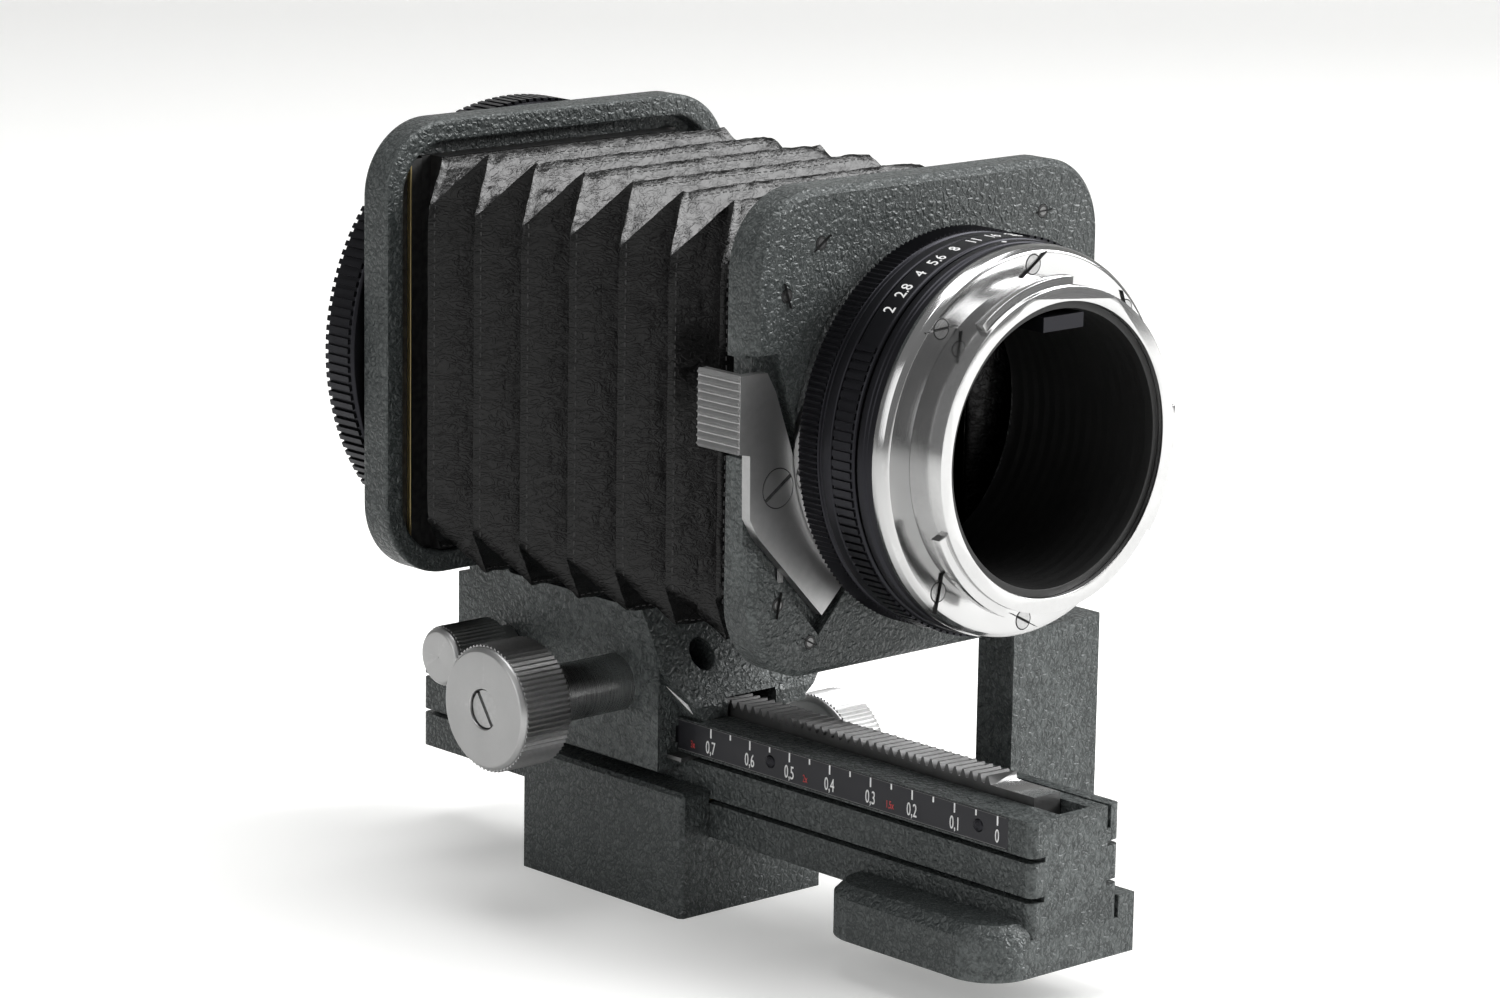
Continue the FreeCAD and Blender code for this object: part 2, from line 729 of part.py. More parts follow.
def adapter():
    """The bayonet adapter: knurled barrel, aperture ring, step ring, flange, rim and inner tube."""
    bore = size("adapter_bore")
    radius = size("adapter_radius")
    rear = plate_front - size("seat_length")
    barrel_front = rear - size("barrel_length")
    ring_front = barrel_front - size("aperture_length")
    step_front = ring_front - size("step_length")
    face = step_front - size("flange_length")
    sleeve = radius - 4
    length = size("barrel_length")
    knurl = size("rear_knurl_length")
    profile = [(0, bore), (0, radius), (-knurl, radius), (-knurl, radius - 0.6), (-length, radius - 0.6)]
    profile += [(-length, sleeve), (-length - size("aperture_length"), sleeve), (-length - size("aperture_length"), bore)]
    keep("adapter_barrel", turned("barrel", "Y", profile, 0, rear, axis_up))
    gap = turn_gap
    far = -size("aperture_length") + gap
    ring = [(-gap, sleeve + gap), (-gap, radius), (far, radius), (far, sleeve + gap)]
    keep("aperture_ring", turned("aperture", "Y", ring, 0, barrel_front, axis_up))
    step = size("step_length")
    outer = size("step_radius")
    stepped = [(0, bore), (0, outer), (-step / 2, outer), (-step / 2, outer - 0.8), (-step, outer - 0.8), (-step, bore)]
    keep("step_ring", turned("step", "Y", stepped, 0, ring_front, axis_up))
    flange = size("flange_radius")
    bevel = size("flange_bevel")
    thick = size("flange_length")
    flange_profile = [(0, bore), (0, flange), (-thick + bevel, flange), (-thick, flange - bevel), (-thick, bore)]
    plain = turned("flange", "Y", flange_profile, 0, step_front, axis_up)
    screws = []
    holes = []
    for number, degrees in enumerate((90, 42, 134, 228, 270, 318)):
        angle = math.radians(degrees)
        x = size("flange_screw_circle") * math.cos(angle)
        z = axis_up + size("flange_screw_circle") * math.sin(angle)
        screws.append(rod(f"flange_screw_{number}", "Y", face + 0.15, step_front, 1.7, x, z))
        holes.append(rod(f"flange_hole_{number}", "Y", face - 1, step_front, 1.7, x, z))
    keep("adapter_flange", cut("flange_drilled", plain, *holes))
    keep("flange_screws", group("flange_screw_set", screws))
    rim_face = face - size("rim_length")
    rim = tube("rim", "Y", rim_face, face, size("rim_radius"), size("rim_inner_radius"), 0, axis_up)
    lugs = []
    for number, middle in enumerate((60, 180, 300)):
        lug = DOC.addObject("Part::Feature", f"lug_{number}")
        start = math.radians(middle) - math.radians(number_of(size("lug_span"))) / 2
        lug.Shape = ring_sector(number_of(size("rim_radius")) - 0.5, number_of(size("rim_radius") + size("lug_height")),
                                start, number_of(size("lug_span")), number_of(size("lug_length")))
        lug.Placement.Base = FreeCAD.Vector(0, number_of(rim_face) + 0.8, number_of(axis_up))
        lugs.append(lug)
    keep("bayonet_rim", joined("rim_with_lugs", rim, *lugs))
    tube_outer = size("rim_inner_radius")
    inner = size("tube_inner_radius")
    tube_rear = plate_rear - 1
    lining = [(0, inner), (0, tube_outer), (tube_rear - rim_face - 2, tube_outer), (tube_rear - rim_face - 2, inner)]
    keep("adapter_tube", turned("lining", "Y", lining, 0, rim_face + 1, axis_up))
    cam = box("cam_blank", (-4, 5), (rim_face + 0.4, face - 0.4), (axis_up + inner - 3.2, axis_up + inner - 0.8))
    keep("aperture_cam", cam)


def ring_sector(inner, outer, start, span_degrees, length):
    """Return part of a flat ring about the Y axis, from a start angle through a span."""
    ring = Part.makeCylinder(outer, length, FreeCAD.Vector(), ALONG_Y, span_degrees)
    hole = Part.makeCylinder(inner, length, FreeCAD.Vector(), ALONG_Y)
    sector = ring.cut(hole)
    sector.rotate(FreeCAD.Vector(), ALONG_Y, -math.degrees(start))
    return sector


def folded(stations):
    """Return a closed solid of flat facets through rectangles, given as (along, half width, half height)."""
    up = number_of(axis_up)
    rows = []
    for along, wide, tall in stations:
        signs = ((-1, -1), (1, -1), (1, 1), (-1, 1))
        rows.append([FreeCAD.Vector(wide * side, along, up + tall * level) for side, level in signs])
    outlines = [rows[0], rows[-1]]
    for near, far in zip(rows, rows[1:]):
        outlines += [[near[i], near[(i + 1) % 4], far[(i + 1) % 4], far[i]] for i in range(4)]
    faces = [Part.Face(Part.makePolygon(points + points[:1])) for points in outlines]
    shell = Part.makeShell(faces)
    shell.sewShape()
    solid = Part.Solid(shell)
    if solid.Volume < 0:
        solid.reverse()
    return solid


def bellows():
    """The leather bellows, whose top and side ridges alternate, with a board at the rear end."""
    start = number_of(plate_rear)
    stop = number_of(size("tray_lip"))
    folds = 2 * int(number_of(size("bellows_pitches")))
    wall = number_of(size("bellows_wall"))
    stations = []
    for fold in range(folds + 1):
        along = start + (stop - start) * fold / folds
        half_width = number_of(size("ridge_half_width" if fold % 2 else "valley_half_width"))
        half_height = number_of(size("valley_half_height" if fold % 2 else "ridge_half_height"))
        if fold == folds:
            half_height -= number_of(size("bellows_inset"))
        stations.append((along, half_width, half_height))
    inside = [(along, half_width - wall, half_height - wall) for along, half_width, half_height in stations]
    inside = [(start - 1, *inside[0][1:])] + inside + [(stop + 1, *inside[-1][1:])]
    feature = DOC.addObject("Part::Feature", "bellows_skin")
    feature.Shape = folded(stations).cut(folded(inside))
    keep("bellows", feature)
    board = size("bellows_board")
    half_width = size("valley_half_width")
    half_height = size("ridge_half_height")
    lip = size("tray_lip")
    rear = size("tray_rear") - size("tray_floor")
    blank = box("rear_board_blank", (-half_width - 2, half_width + 2), (rear - board, rear),
                (axis_up - half_height + 2, axis_up + half_height - 2))
    hole = rod("rear_board_hole", "Y", rear - board - 1, rear + 1, size("tray_hole_radius") - 5, 0, axis_up)
    collar_x = half_width
    collar_z = half_height - size("bellows_inset")
    collar = box("collar_blank", (-collar_x, collar_x), (lip, rear - board), (axis_up - collar_z, axis_up + collar_z))
    inner_wall = size("bellows_wall")
    hollow = box("collar_hollow", (-collar_x + inner_wall, collar_x - inner_wall), (lip - 1, rear),
                 (axis_up - collar_z + inner_wall, axis_up + collar_z - inner_wall))
    keep("bellows_rear_frame", joined("rear_board", cut("rear_board_plate", blank, hole),
                                      cut("rear_collar", collar, hollow)))


def rear_frame():
    """The tray-shaped frame that holds the bellows' rear end."""
    half = size("tray_width") / 2
    low = size("tray_bottom")
    high = low + size("tray_height")
    wall = size("tray_wall")
    corner = size("plate_corner")
    lip = size("tray_lip")
    floor = size("tray_rear") - size("tray_floor")
    blank = upright("tray_blank", half, low, high, corner, lip, size("tray_rear"))
    hollow = upright("tray_hollow", half - wall, low + wall, high - wall, corner - wall, lip - 1, floor)
    hole = rod("tray_hole", "Y", size("tray_lip"), size("tray_rear") + 1, size("tray_hole_radius"), 0, size("ring_up"))
    keep("rear_frame", cut("tray", blank, hollow, hole))


def rear_ring():
    """The knurled clamp ring behind the tray and the carrier that it turns on."""
    start = size("tray_rear")
    gap = size("ring_gap")
    length = size("ring_length")
    up = size("ring_up")
    carrier = size("carrier_radius")
    bore = size("carrier_inner_radius")
    keep("ring_carrier", tube("carrier", "Y", start, start + gap + length, carrier, bore, 0, up))
    radius = size("ring_radius")
    inner = size("ring_inner_radius")
    keep("rear_ring", tube("clamp_ring", "Y", start + gap, start + gap + length, radius, inner, 0, up))


def carriage():
    """The focusing carriage that rides on the rail and carries the rear frame."""
    front = -size("carriage_front")
    rear = size("carriage_rear")
    half = size("carriage_half_width")
    bottom = size("carriage_bottom")
    nose = size("nose_up")
    top = size("carriage_top")
    lean = size("nose_lean")
    seat = size("tray_bottom")
    shoulder = size("shoulder_start")
    tray_rear = size("tray_rear")
    ring_clear = size("ring_up") - size("ring_radius") - 0.8
    side = [(front, bottom), (rear, bottom), (rear, ring_clear), (tray_rear + free_gap, ring_clear)]
    side += [(tray_rear + free_gap, seat), (shoulder, seat), (shoulder - 1, top), (front + (top - nose) * lean, top)]
    side += [(front, nose)]
    profile = slab("carriage_side", "X", -half - 1, size("flare_half_width") + 1, side)
    wide = size("flare_half_width")
    across = [(-half, bottom), (half, bottom), (half, size("flare_low")), (wide, size("flare_high"))]
    across += [(wide, seat + 1), (-half, seat + 1)]
    section = slab("carriage_section", "Y", front - 1, rear + 1, across)
    block = shared("carriage_block", profile, section)
    ends = (front - 1, rear + 1)
    channel = (-rail_half - slide_gap, rail_half + slide_gap)
    tools = [box("rail_channel", channel, ends, (bottom - 1, rail_top + slide_gap))]
    cheek = -size("cheek_front")
    tools.append(box("cheek_cut", (-half - 2, wide + 2), (front - 1, cheek), (bottom - 1, rail_top + slide_gap)))
    low_side = -size("nose_side_low")
    high_side = size("nose_side_high")
    facet = [(-half - 2, rail_top), (low_side, rail_top), (-half, high_side), (-half - 2, high_side)]
    tools.append(slab("nose_facet", "Y", front - 1, cheek, facet))
    levels = scale_limits()[2]
    middle = (levels[0] + levels[1]) / 2
    room = size("scale_screw_radius") + free_gap
    relief = (-rail_half - slide_gap - size("scale_relief"), -rail_half)
    tools.append(box("scale_relief", relief, ends, (middle - room, middle + room)))
    arch = (-size("arch_left"), size("arch_right"))
    tools.append(box("rack_arch", arch, ends, (rail_top - 1, size("arch_top"))))
    tongue_half = size("tongue_thickness") / 2
    levels = (upper_groove - tongue_half, upper_groove + tongue_half)
    reach = rail_half - size("tongue_reach")
    seat_x = rail_half + slide_gap + size("tongue_seat")
    run = (front + 1.2, rear - 1.2)
    tongues = [box("guide_right", (reach, seat_x), run, levels), box("guide_left", (-seat_x, -reach), run, levels)]
    tools += [box("guide_seat_right", (reach, seat_x), run, levels), box("guide_seat_left", (-seat_x, -reach), run, levels)]
    left, rack_front, rack_rear = rack_limits()
    clear = pinion_radius + module + 0.4
    pinion_span = (left - 0.6, left + size("rack_width") + 0.6)
    tools.append(rod("pinion_room", "X", pinion_span[0], pinion_span[1], clear, pinion_along, pinion_up))
    shaft = size("shaft_radius") + turn_gap
    tools.append(rod("shaft_bore", "X", -half - 2, size("arch_right") + 4, shaft, pinion_along, pinion_up))
    lock_shaft = size("lock_shaft_radius") + turn_gap
    shoe_right = size("slit_from_centre") - 0.3
    shoe_left = shoe_right - size("lock_shoe_width")
    tools.append(rod("lock_bore", "X", -half - 2, shoe_right + 0.5, lock_shaft, size("lock_rear"), size("lock_up")))
    shoe_run = (size("lock_rear") - 3, size("lock_rear") + 3)
    shoe_top = size("lock_up") - size("lock_shaft_radius") - turn_gap
    tools.append(box("shoe_room", (shoe_left, shoe_right), shoe_run, (size("arch_top") - 0.5, shoe_top + 0.2)))
    tools.append(rod("boss_hole", "Y", front - 1, front + 12, size("boss_hole_radius"), -size("boss_hole_left"),
                     size("boss_hole_up")))
    keep("carriage", cut("carriage_machined", block, *tools))
    keep("carriage_gibs", group("carriage_tongues", tongues))
    keep("lock_shoe", box("shoe_block", (shoe_left, shoe_right), shoe_run, (rail_top + slide_gap, shoe_top)))
    knob_end = -half - size("lock_knob_gap") - size("lock_knob_length")
    stem_start = -half - free_gap
    stem_length = shoe_right - stem_start
    stem_radius = size("lock_shaft_radius")
    stem = [(0, 0), (0, stem_radius), (stem_length, stem_radius), (stem_length, 0)]
    keep("lock_shaft", turned("lock_spindle", "X", stem, stem_start, size("lock_rear"), size("lock_up")))
    radius = size("lock_knob_radius")
    length = size("lock_knob_length")
    neck = size("lock_knob_gap")
    knob = [(0, 0), (0, radius - 0.9), (0.9, radius), (length, radius), (length, radius * 0.62)]
    knob += [(length + neck - free_gap, radius * 0.62), (length + neck - free_gap, 0)]
    keep("lock_knob", turned("lock_grip", "X", knob, knob_end, size("lock_rear"), size("lock_up")))


def focus_drive():
    """The pinion on its shaft, the sleeve that carries it and the fluted focus knob."""
    half = size("carriage_half_width")
    sleeve_end = -size("sleeve_end")
    shaft = size("shaft_radius")
    left, rack_front, rack_rear = rack_limits()
    width = number_of(size("rack_width"))
    keep("pinion_sleeve", tube("sleeve", "X", sleeve_end, -half, size("sleeve_radius"), shaft + turn_gap,
                               pinion_along, pinion_up))
    knob_end = sleeve_end - free_gap - size("focus_knob_length")
    shaft_end = size("arch_right") + 3.5
    spindle = rod("spindle", "X", knob_end + 3, shaft_end, shaft, pinion_along, pinion_up)
    keep("pinion_shaft", spindle)
    turn = math.degrees(width * math.tan(math.radians(number_of(size("rack_skew")))) / number_of(pinion_radius))
    steps = 3
    rings = [pinion_points(number_of(left) + width * i / steps, turn * (0.5 - i / steps)) for i in range(steps + 1)]
    gear = faceted(rings)
    gear.translate(FreeCAD.Vector(0, number_of(pinion_along), number_of(pinion_up)))
    hole = Part.makeCylinder(number_of(shaft), width + 2,
                             FreeCAD.Vector(number_of(left) - 1, number_of(pinion_along), number_of(pinion_up)), ALONG_X)
    feature = DOC.addObject("Part::Feature", "pinion_gear")
    feature.Shape = gear.cut(hole)
    keep("pinion", feature)
    radius = size("focus_knob_radius")
    length = size("focus_knob_length")
    bevel = size("focus_knob_bevel")
    well = radius * 0.3
    knob = [(1.6, shaft), (1.6, well), (0, well), (0, radius - bevel), (bevel, radius), (length, radius)]
    knob += [(length, shaft)]
    blank = turned("focus_blank", "X", knob, knob_end, pinion_along, pinion_up)
    count = 2 * int(number_of(size("focus_flutes")))
    reach = number_of(radius)
    root = reach - number_of(size("flute_depth"))
    start = number_of(knob_end + bevel + 0.4)
    points = []
    for number in range(count):
        angle = 2 * math.pi * number / count
        turned_out = root if number % 2 else reach + 0.3
        across = number_of(pinion_along) + turned_out * math.cos(angle)
        points.append(FreeCAD.Vector(start, across, number_of(pinion_up) + turned_out * math.sin(angle)))
    far = number_of(length)
    star = DOC.addObject("Part::Feature", "focus_star")
    star.Shape = prism(points, FreeCAD.Vector(far, 0, 0))
    band = rod("focus_band", "X", knob_end + bevel + 0.4, knob_end + length + 1, radius + 1, pinion_along, pinion_up)
    keep("focus_knob", cut("focus_fluted", blank, cut("focus_flutes", band, star)))
    head = [(0.6, 0), (0.6, well - 0.5), (1.6, well - 0.5), (1.6, shaft - 0.3), (3, shaft - 0.3), (3, 0)]
    keep("focus_knob_screw", turned("focus_screw", "X", head, knob_end, pinion_along, pinion_up))


def pinion_points(along, phase):
    """Return the corners of the pinion's outline at one section, turned by a phase in degrees."""
    teeth = int(number_of(size("pinion_teeth")))
    unit = number_of(module)
    rolled = number_of(pinion_radius)
    outer = rolled + unit - number_of(size("mesh_clearance"))
    root = rolled - unit * 1.15
    thin = number_of(size("tooth_backlash")) / 2
    flank = tooth_flank(unit, rolled, root, outer, thin)
    points = []
    for tooth in range(teeth):
        middle = 2 * math.pi * tooth / teeth + math.radians(phase)
        points += [(radius, middle - half) for radius, half in flank]
        points += [(radius, middle + half) for radius, half in reversed(flank)]
    return [FreeCAD.Vector(along, radius * math.sin(angle), -radius * math.cos(angle)) for radius, angle in points]


def faceted(rings):
    """Return a solid of flat triangles between rows of matching points, with flat ends."""
    faces = [Part.Face(Part.makePolygon(ring + ring[:1])) for ring in (rings[0], rings[-1])]
    for near, far in zip(rings, rings[1:]):
        for i in range(len(near)):
            j = (i + 1) % len(near)
            for corners in ([near[i], near[j], far[j]], [near[i], far[j], far[i]]):
                faces.append(Part.Face(Part.makePolygon(corners + corners[:1])))
    shell = Part.makeShell(faces)
    shell.sewShape()
    solid = Part.Solid(shell)
    if solid.Volume < 0:
        solid.reverse()
    return solid


def tooth_flank(unit, rolled, root, outer, thin):
    """Return (radius, half angle) pairs along one flank, from the root to the tip."""
    base = rolled * math.cos(math.radians(20))
    half_pitch_angle = (math.pi * unit / 4 - thin) / rolled
    at_pitch = involute(base, rolled)
    flank = [(root, half_pitch_angle + at_pitch)]
    for radius in (rolled, outer):
        flank.append((radius, max(half_pitch_angle + at_pitch - involute(base, radius), 0.03)))
    return flank


def involute(base, radius):
    """Return the polar angle of an involute where it reaches a radius."""
    ratio = max(radius / base, 1.0)
    lean = math.acos(1 / ratio)
    return math.tan(lean) - lean


rail()
scale_plate()
rack()
front_foot()
tripod_block()
front_standard()
release_lever()
seat_ring()
adapter()
bellows()
rear_frame()
rear_ring()
carriage()
focus_drive()
DOC.recompute()

failed = [item.Name for item in DOC.Objects if "Invalid" in item.State or "Error" in item.State]
if failed:
    raise RuntimeError("objects that failed: " + ", ".join(failed))
for item in NODES:
    if item.Shape.isNull() or not item.Shape.isValid():
        raise RuntimeError("no valid shape: " + item.Label)

os.makedirs("parts", exist_ok=True)
for item in NODES:
    item.Shape.exportStep(f"parts/{item.Label}.step")
    print(item.Label, len(item.Shape.Solids), round(item.Shape.Volume, 1))
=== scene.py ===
"""Dresses the macro bellows unit: a rail held in a clamp block, a fixed front standard with its
adapter, a folding leather bellows and a focusing carriage. Lengths here are millimetres unless a
name ends in _m, and meshes are metres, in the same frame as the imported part."""
import json
import logging
import math
from collections.abc import Callable, Sequence
from dataclasses import dataclass
from enum import Enum

import bmesh
import bpy
from mathutils import Matrix, Vector, noise
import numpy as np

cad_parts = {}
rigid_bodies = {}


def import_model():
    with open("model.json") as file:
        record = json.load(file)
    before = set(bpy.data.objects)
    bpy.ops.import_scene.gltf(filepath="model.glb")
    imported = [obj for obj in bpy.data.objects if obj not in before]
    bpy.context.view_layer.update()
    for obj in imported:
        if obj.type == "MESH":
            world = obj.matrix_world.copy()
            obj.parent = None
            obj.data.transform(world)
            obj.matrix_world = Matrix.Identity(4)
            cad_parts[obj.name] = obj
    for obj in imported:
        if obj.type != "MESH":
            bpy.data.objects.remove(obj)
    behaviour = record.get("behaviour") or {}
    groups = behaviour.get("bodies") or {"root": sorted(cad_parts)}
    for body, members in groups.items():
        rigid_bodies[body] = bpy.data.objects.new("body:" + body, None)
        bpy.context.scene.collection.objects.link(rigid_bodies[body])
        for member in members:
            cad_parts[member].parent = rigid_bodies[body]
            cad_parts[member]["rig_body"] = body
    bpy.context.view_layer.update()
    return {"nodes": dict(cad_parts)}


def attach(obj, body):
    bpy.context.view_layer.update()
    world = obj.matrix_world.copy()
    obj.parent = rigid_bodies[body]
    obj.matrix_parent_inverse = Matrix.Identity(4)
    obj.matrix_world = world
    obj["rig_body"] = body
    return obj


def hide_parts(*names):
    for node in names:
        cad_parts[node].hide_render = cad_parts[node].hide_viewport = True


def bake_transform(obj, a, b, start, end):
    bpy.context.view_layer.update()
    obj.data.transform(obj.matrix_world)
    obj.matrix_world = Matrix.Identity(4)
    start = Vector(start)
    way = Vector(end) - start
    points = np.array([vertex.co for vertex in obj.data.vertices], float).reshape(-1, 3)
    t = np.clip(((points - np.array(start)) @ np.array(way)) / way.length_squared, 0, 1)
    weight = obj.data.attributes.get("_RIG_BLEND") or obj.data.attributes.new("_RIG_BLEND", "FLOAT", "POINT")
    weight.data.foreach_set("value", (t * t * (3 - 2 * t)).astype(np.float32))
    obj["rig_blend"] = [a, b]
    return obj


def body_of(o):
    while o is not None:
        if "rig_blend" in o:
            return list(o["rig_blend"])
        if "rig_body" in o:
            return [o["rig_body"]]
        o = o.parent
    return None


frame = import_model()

MM = 0.001
LOG = logging.getLogger("bellows_unit")
Colour = tuple[float, float, float, float]
Point = tuple[float, float, float]


class Axis(Enum):
    """The direction that a turned or pressed piece is made along."""

    X = 0
    Y = 1
    Z = 2


class NodeSheet:
    """Adds nodes to a shader or geometry tree and joins their sockets."""

    def __init__(self, tree: bpy.types.NodeTree) -> None:
        """Holds the tree and clears it.

        Args:
            tree: The node tree that is filled.
        """
        self.tree = tree
        tree.nodes.clear()

    def add(
        self, kind: str, inputs: dict[str | int, object] | None = None, **settings: object
    ) -> bpy.types.Node:
        """Adds a node, sets its properties and fills or joins its inputs.

        Args:
            kind: The node's type, such as ShaderNodeMath.
            inputs: Values, or sockets to join, by the input's name or number.
            settings: Properties of the node itself.

        Returns:
            The new node.
        """
        node = self.tree.nodes.new(kind)
        for key, value in settings.items():
            setattr(node, key, value)
        for key, value in (inputs or {}).items():
            socket = node.inputs[key]
            if isinstance(value, bpy.types.NodeSocket):
                self.tree.links.new(value, socket)
            else:
                socket.default_value = value
        return node

    def maths(
        self, operation: str, first: object, second: object = 0.0, third: object = 0.0
    ) -> bpy.types.NodeSocket:
        """Adds a Math node and returns its result.

        Args:
            operation: The Math node's operation.
            first: First value or socket.
            second: Second value or socket.
            third: Third value or socket.

        Returns:
            The node's output.
        """
        node = self.add("ShaderNodeMath", {0: first, 1: second, 2: third}, operation=operation)
        return node.outputs[0]

    def vector(self, operation: str, first: object, second: object) -> bpy.types.NodeSocket:
        """Adds a Vector Math node and returns its vector.

        Args:
            operation: The node's operation.
            first: First vector or socket.
            second: Second vector or socket.

        Returns:
            The node's vector output.
        """
        node = self.add("ShaderNodeVectorMath", {0: first, 1: second}, operation=operation)
        return node.outputs["Vector"]

    def cloud(self, place: object, scale: object, detail: float) -> bpy.types.NodeSocket:
        """Adds a noise and returns its value.

        Args:
            place: Where it is read.
            scale: Its scale.
            detail: Its detail.

        Returns:
            The noise's value.
        """
        node = self.add("ShaderNodeTexNoise", {"Vector": place, "Scale": scale, "Detail": detail})
        return node.outputs["Fac"]

    def ramp(
        self, value: object, low: float, high: float, start: float = 0.0, end: float = 1.0
    ) -> bpy.types.NodeSocket:
        """Maps a value from one range to another, clamped and smooth.

        Args:
            value: The socket to map.
            low: The value that gives start.
            high: The value that gives end.
            start: Lowest result.
            end: Highest result.

        Returns:
            The mapped value.
        """
        inputs = {"Value": value, "From Min": low, "From Max": high, "To Min": start, "To Max": end}
        return self.add("ShaderNodeMapRange", inputs, interpolation_type="SMOOTHSTEP").outputs["Result"]

    def blend(self, share: object, first: object, second: object, mode: str = "MIX") -> bpy.types.NodeSocket:
        """Mixes two colours.

        Args:
            share: How much of the second colour shows.
            first: First colour or socket.
            second: Second colour or socket.
            mode: The blend type.

        Returns:
            The mixed colour.
        """
        node = self.add("ShaderNodeMix", {0: share, 6: first, 7: second}, data_type="RGBA", blend_type=mode)
        return node.outputs[2]

    def millimetres(self) -> bpy.types.NodeSocket:
        """Returns the place on the piece, in millimetres."""
        place = self.add("ShaderNodeTexCoord").outputs["Object"]
        node = self.add("ShaderNodeVectorMath", {0: place, "Scale": 1000.0}, operation="SCALE")
        return node.outputs["Vector"]


class ShaderPart:
    """A shader node group that several materials share, built the first time it is asked for."""

    name = "part"
    inputs: tuple[tuple[str, str, object], ...] = ()
    outputs: tuple[tuple[str, str], ...] = ()

    def fill(self, sheet: NodeSheet, given: dict[str, bpy.types.NodeSocket]) -> dict[str, bpy.types.NodeSocket]:
        """Builds the group's inside.

        Args:
            sheet: Where the nodes go.
            given: The group's inputs by name.

        Returns:
            The sockets that feed the group's outputs, by name.
        """
        raise NotImplementedError

    def tree(self) -> bpy.types.NodeTree:
        """Returns the group's tree, making it if there is none."""
        found = bpy.data.node_groups.get(self.name)
        if found:
            return found
        tree = bpy.data.node_groups.new(self.name, "ShaderNodeTree")
        for name, kind, value in self.inputs:
            socket = tree.interface.new_socket(name, in_out="INPUT", socket_type=kind)
            socket.default_value = value
        for name, kind in self.outputs:
            tree.interface.new_socket(name, in_out="OUTPUT", socket_type=kind)
        sheet = NodeSheet(tree)
        entry = sheet.add("NodeGroupInput")
        made = self.fill(sheet, {name: entry.outputs[name] for name, _, _ in self.inputs})
        sheet.add("NodeGroupOutput", dict(made))
        return tree

    def place(self, sheet: NodeSheet, values: dict[str, object]) -> bpy.types.Node:
        """Puts the group in a material.

        Args:
            sheet: The material's sheet.
            values: Input values or sockets by name.

        Returns:
            The group node.
        """
        node = sheet.tree.nodes.new("ShaderNodeGroup")
        node.node_tree = self.tree()
        for key, value in values.items():
            if isinstance(value, bpy.types.NodeSocket):
                sheet.tree.links.new(value, node.inputs[key])
            else:
                node.inputs[key].default_value = value
        return node


class HammerPart(ShaderPart):
    """Hammered enamel: domed cells in a thin network, with a fine grain over them."""

    name = "hammered"
    inputs = (
        ("Cell", "NodeSocketFloat", 1.5),
        ("Grain", "NodeSocketFloat", 0.4),
        ("Line", "NodeSocketFloat", 0.5),
        ("Patch", "NodeSocketFloat", 0.3),
    )
    outputs = (("Tone", "NodeSocketFloat"), ("Rough", "NodeSocketFloat"), ("Height", "NodeSocketFloat"))

    def fill(self, sheet: NodeSheet, given: dict[str, bpy.types.NodeSocket]) -> dict[str, bpy.types.NodeSocket]:
        """Builds the cells, the network between them and the grain."""
        place = sheet.millimetres()
        drift = sheet.add("ShaderNodeTexNoise", {"Vector": place, "Scale": 0.9, "Detail": 2.0}).outputs["Color"]
        pull = sheet.vector("SUBTRACT", drift, (0.5, 0.5, 0.5))
        pull = sheet.add("ShaderNodeVectorMath", {0: pull, "Scale": 1.6}, operation="SCALE").outputs["Vector"]
        warped = sheet.vector("ADD", place, pull)
        count = sheet.maths("DIVIDE", 1.0, given["Cell"])
        edge = sheet.add(
            "ShaderNodeTexVoronoi", {"Vector": warped, "Scale": count}, feature="DISTANCE_TO_EDGE"
        ).outputs["Distance"]
        cell = sheet.add("ShaderNodeTexVoronoi", {"Vector": warped, "Scale": count}).outputs["Color"]
        shade = sheet.add("ShaderNodeSeparateColor", {"Color": cell}).outputs[0]
        network = sheet.ramp(edge, 0.0, 0.11, 1.0, 0.0)
        grain = sheet.cloud(place, sheet.maths("DIVIDE", 1.0, given["Grain"]), 3.0)
        wide = sheet.cloud(place, 0.08, 2.0)
        dark = sheet.maths("MULTIPLY", network, given["Line"])
        tone = sheet.maths("SUBTRACT", sheet.ramp(grain, 0.25, 0.75), dark)
        tone = sheet.maths("MULTIPLY_ADD", sheet.maths("SUBTRACT", shade, 0.5), given["Patch"], tone)
        tone = sheet.maths("MULTIPLY_ADD", sheet.maths("SUBTRACT", wide, 0.5), given["Patch"], tone)
        dome = sheet.ramp(edge, 0.0, 0.4)
        height = sheet.maths("MULTIPLY_ADD", grain, 0.45, dome)
        rough = sheet.maths("MULTIPLY_ADD", network, 0.2, sheet.maths("MULTIPLY_ADD", shade, 0.12, 0.3))
        return {"Tone": tone, "Rough": rough, "Height": height}


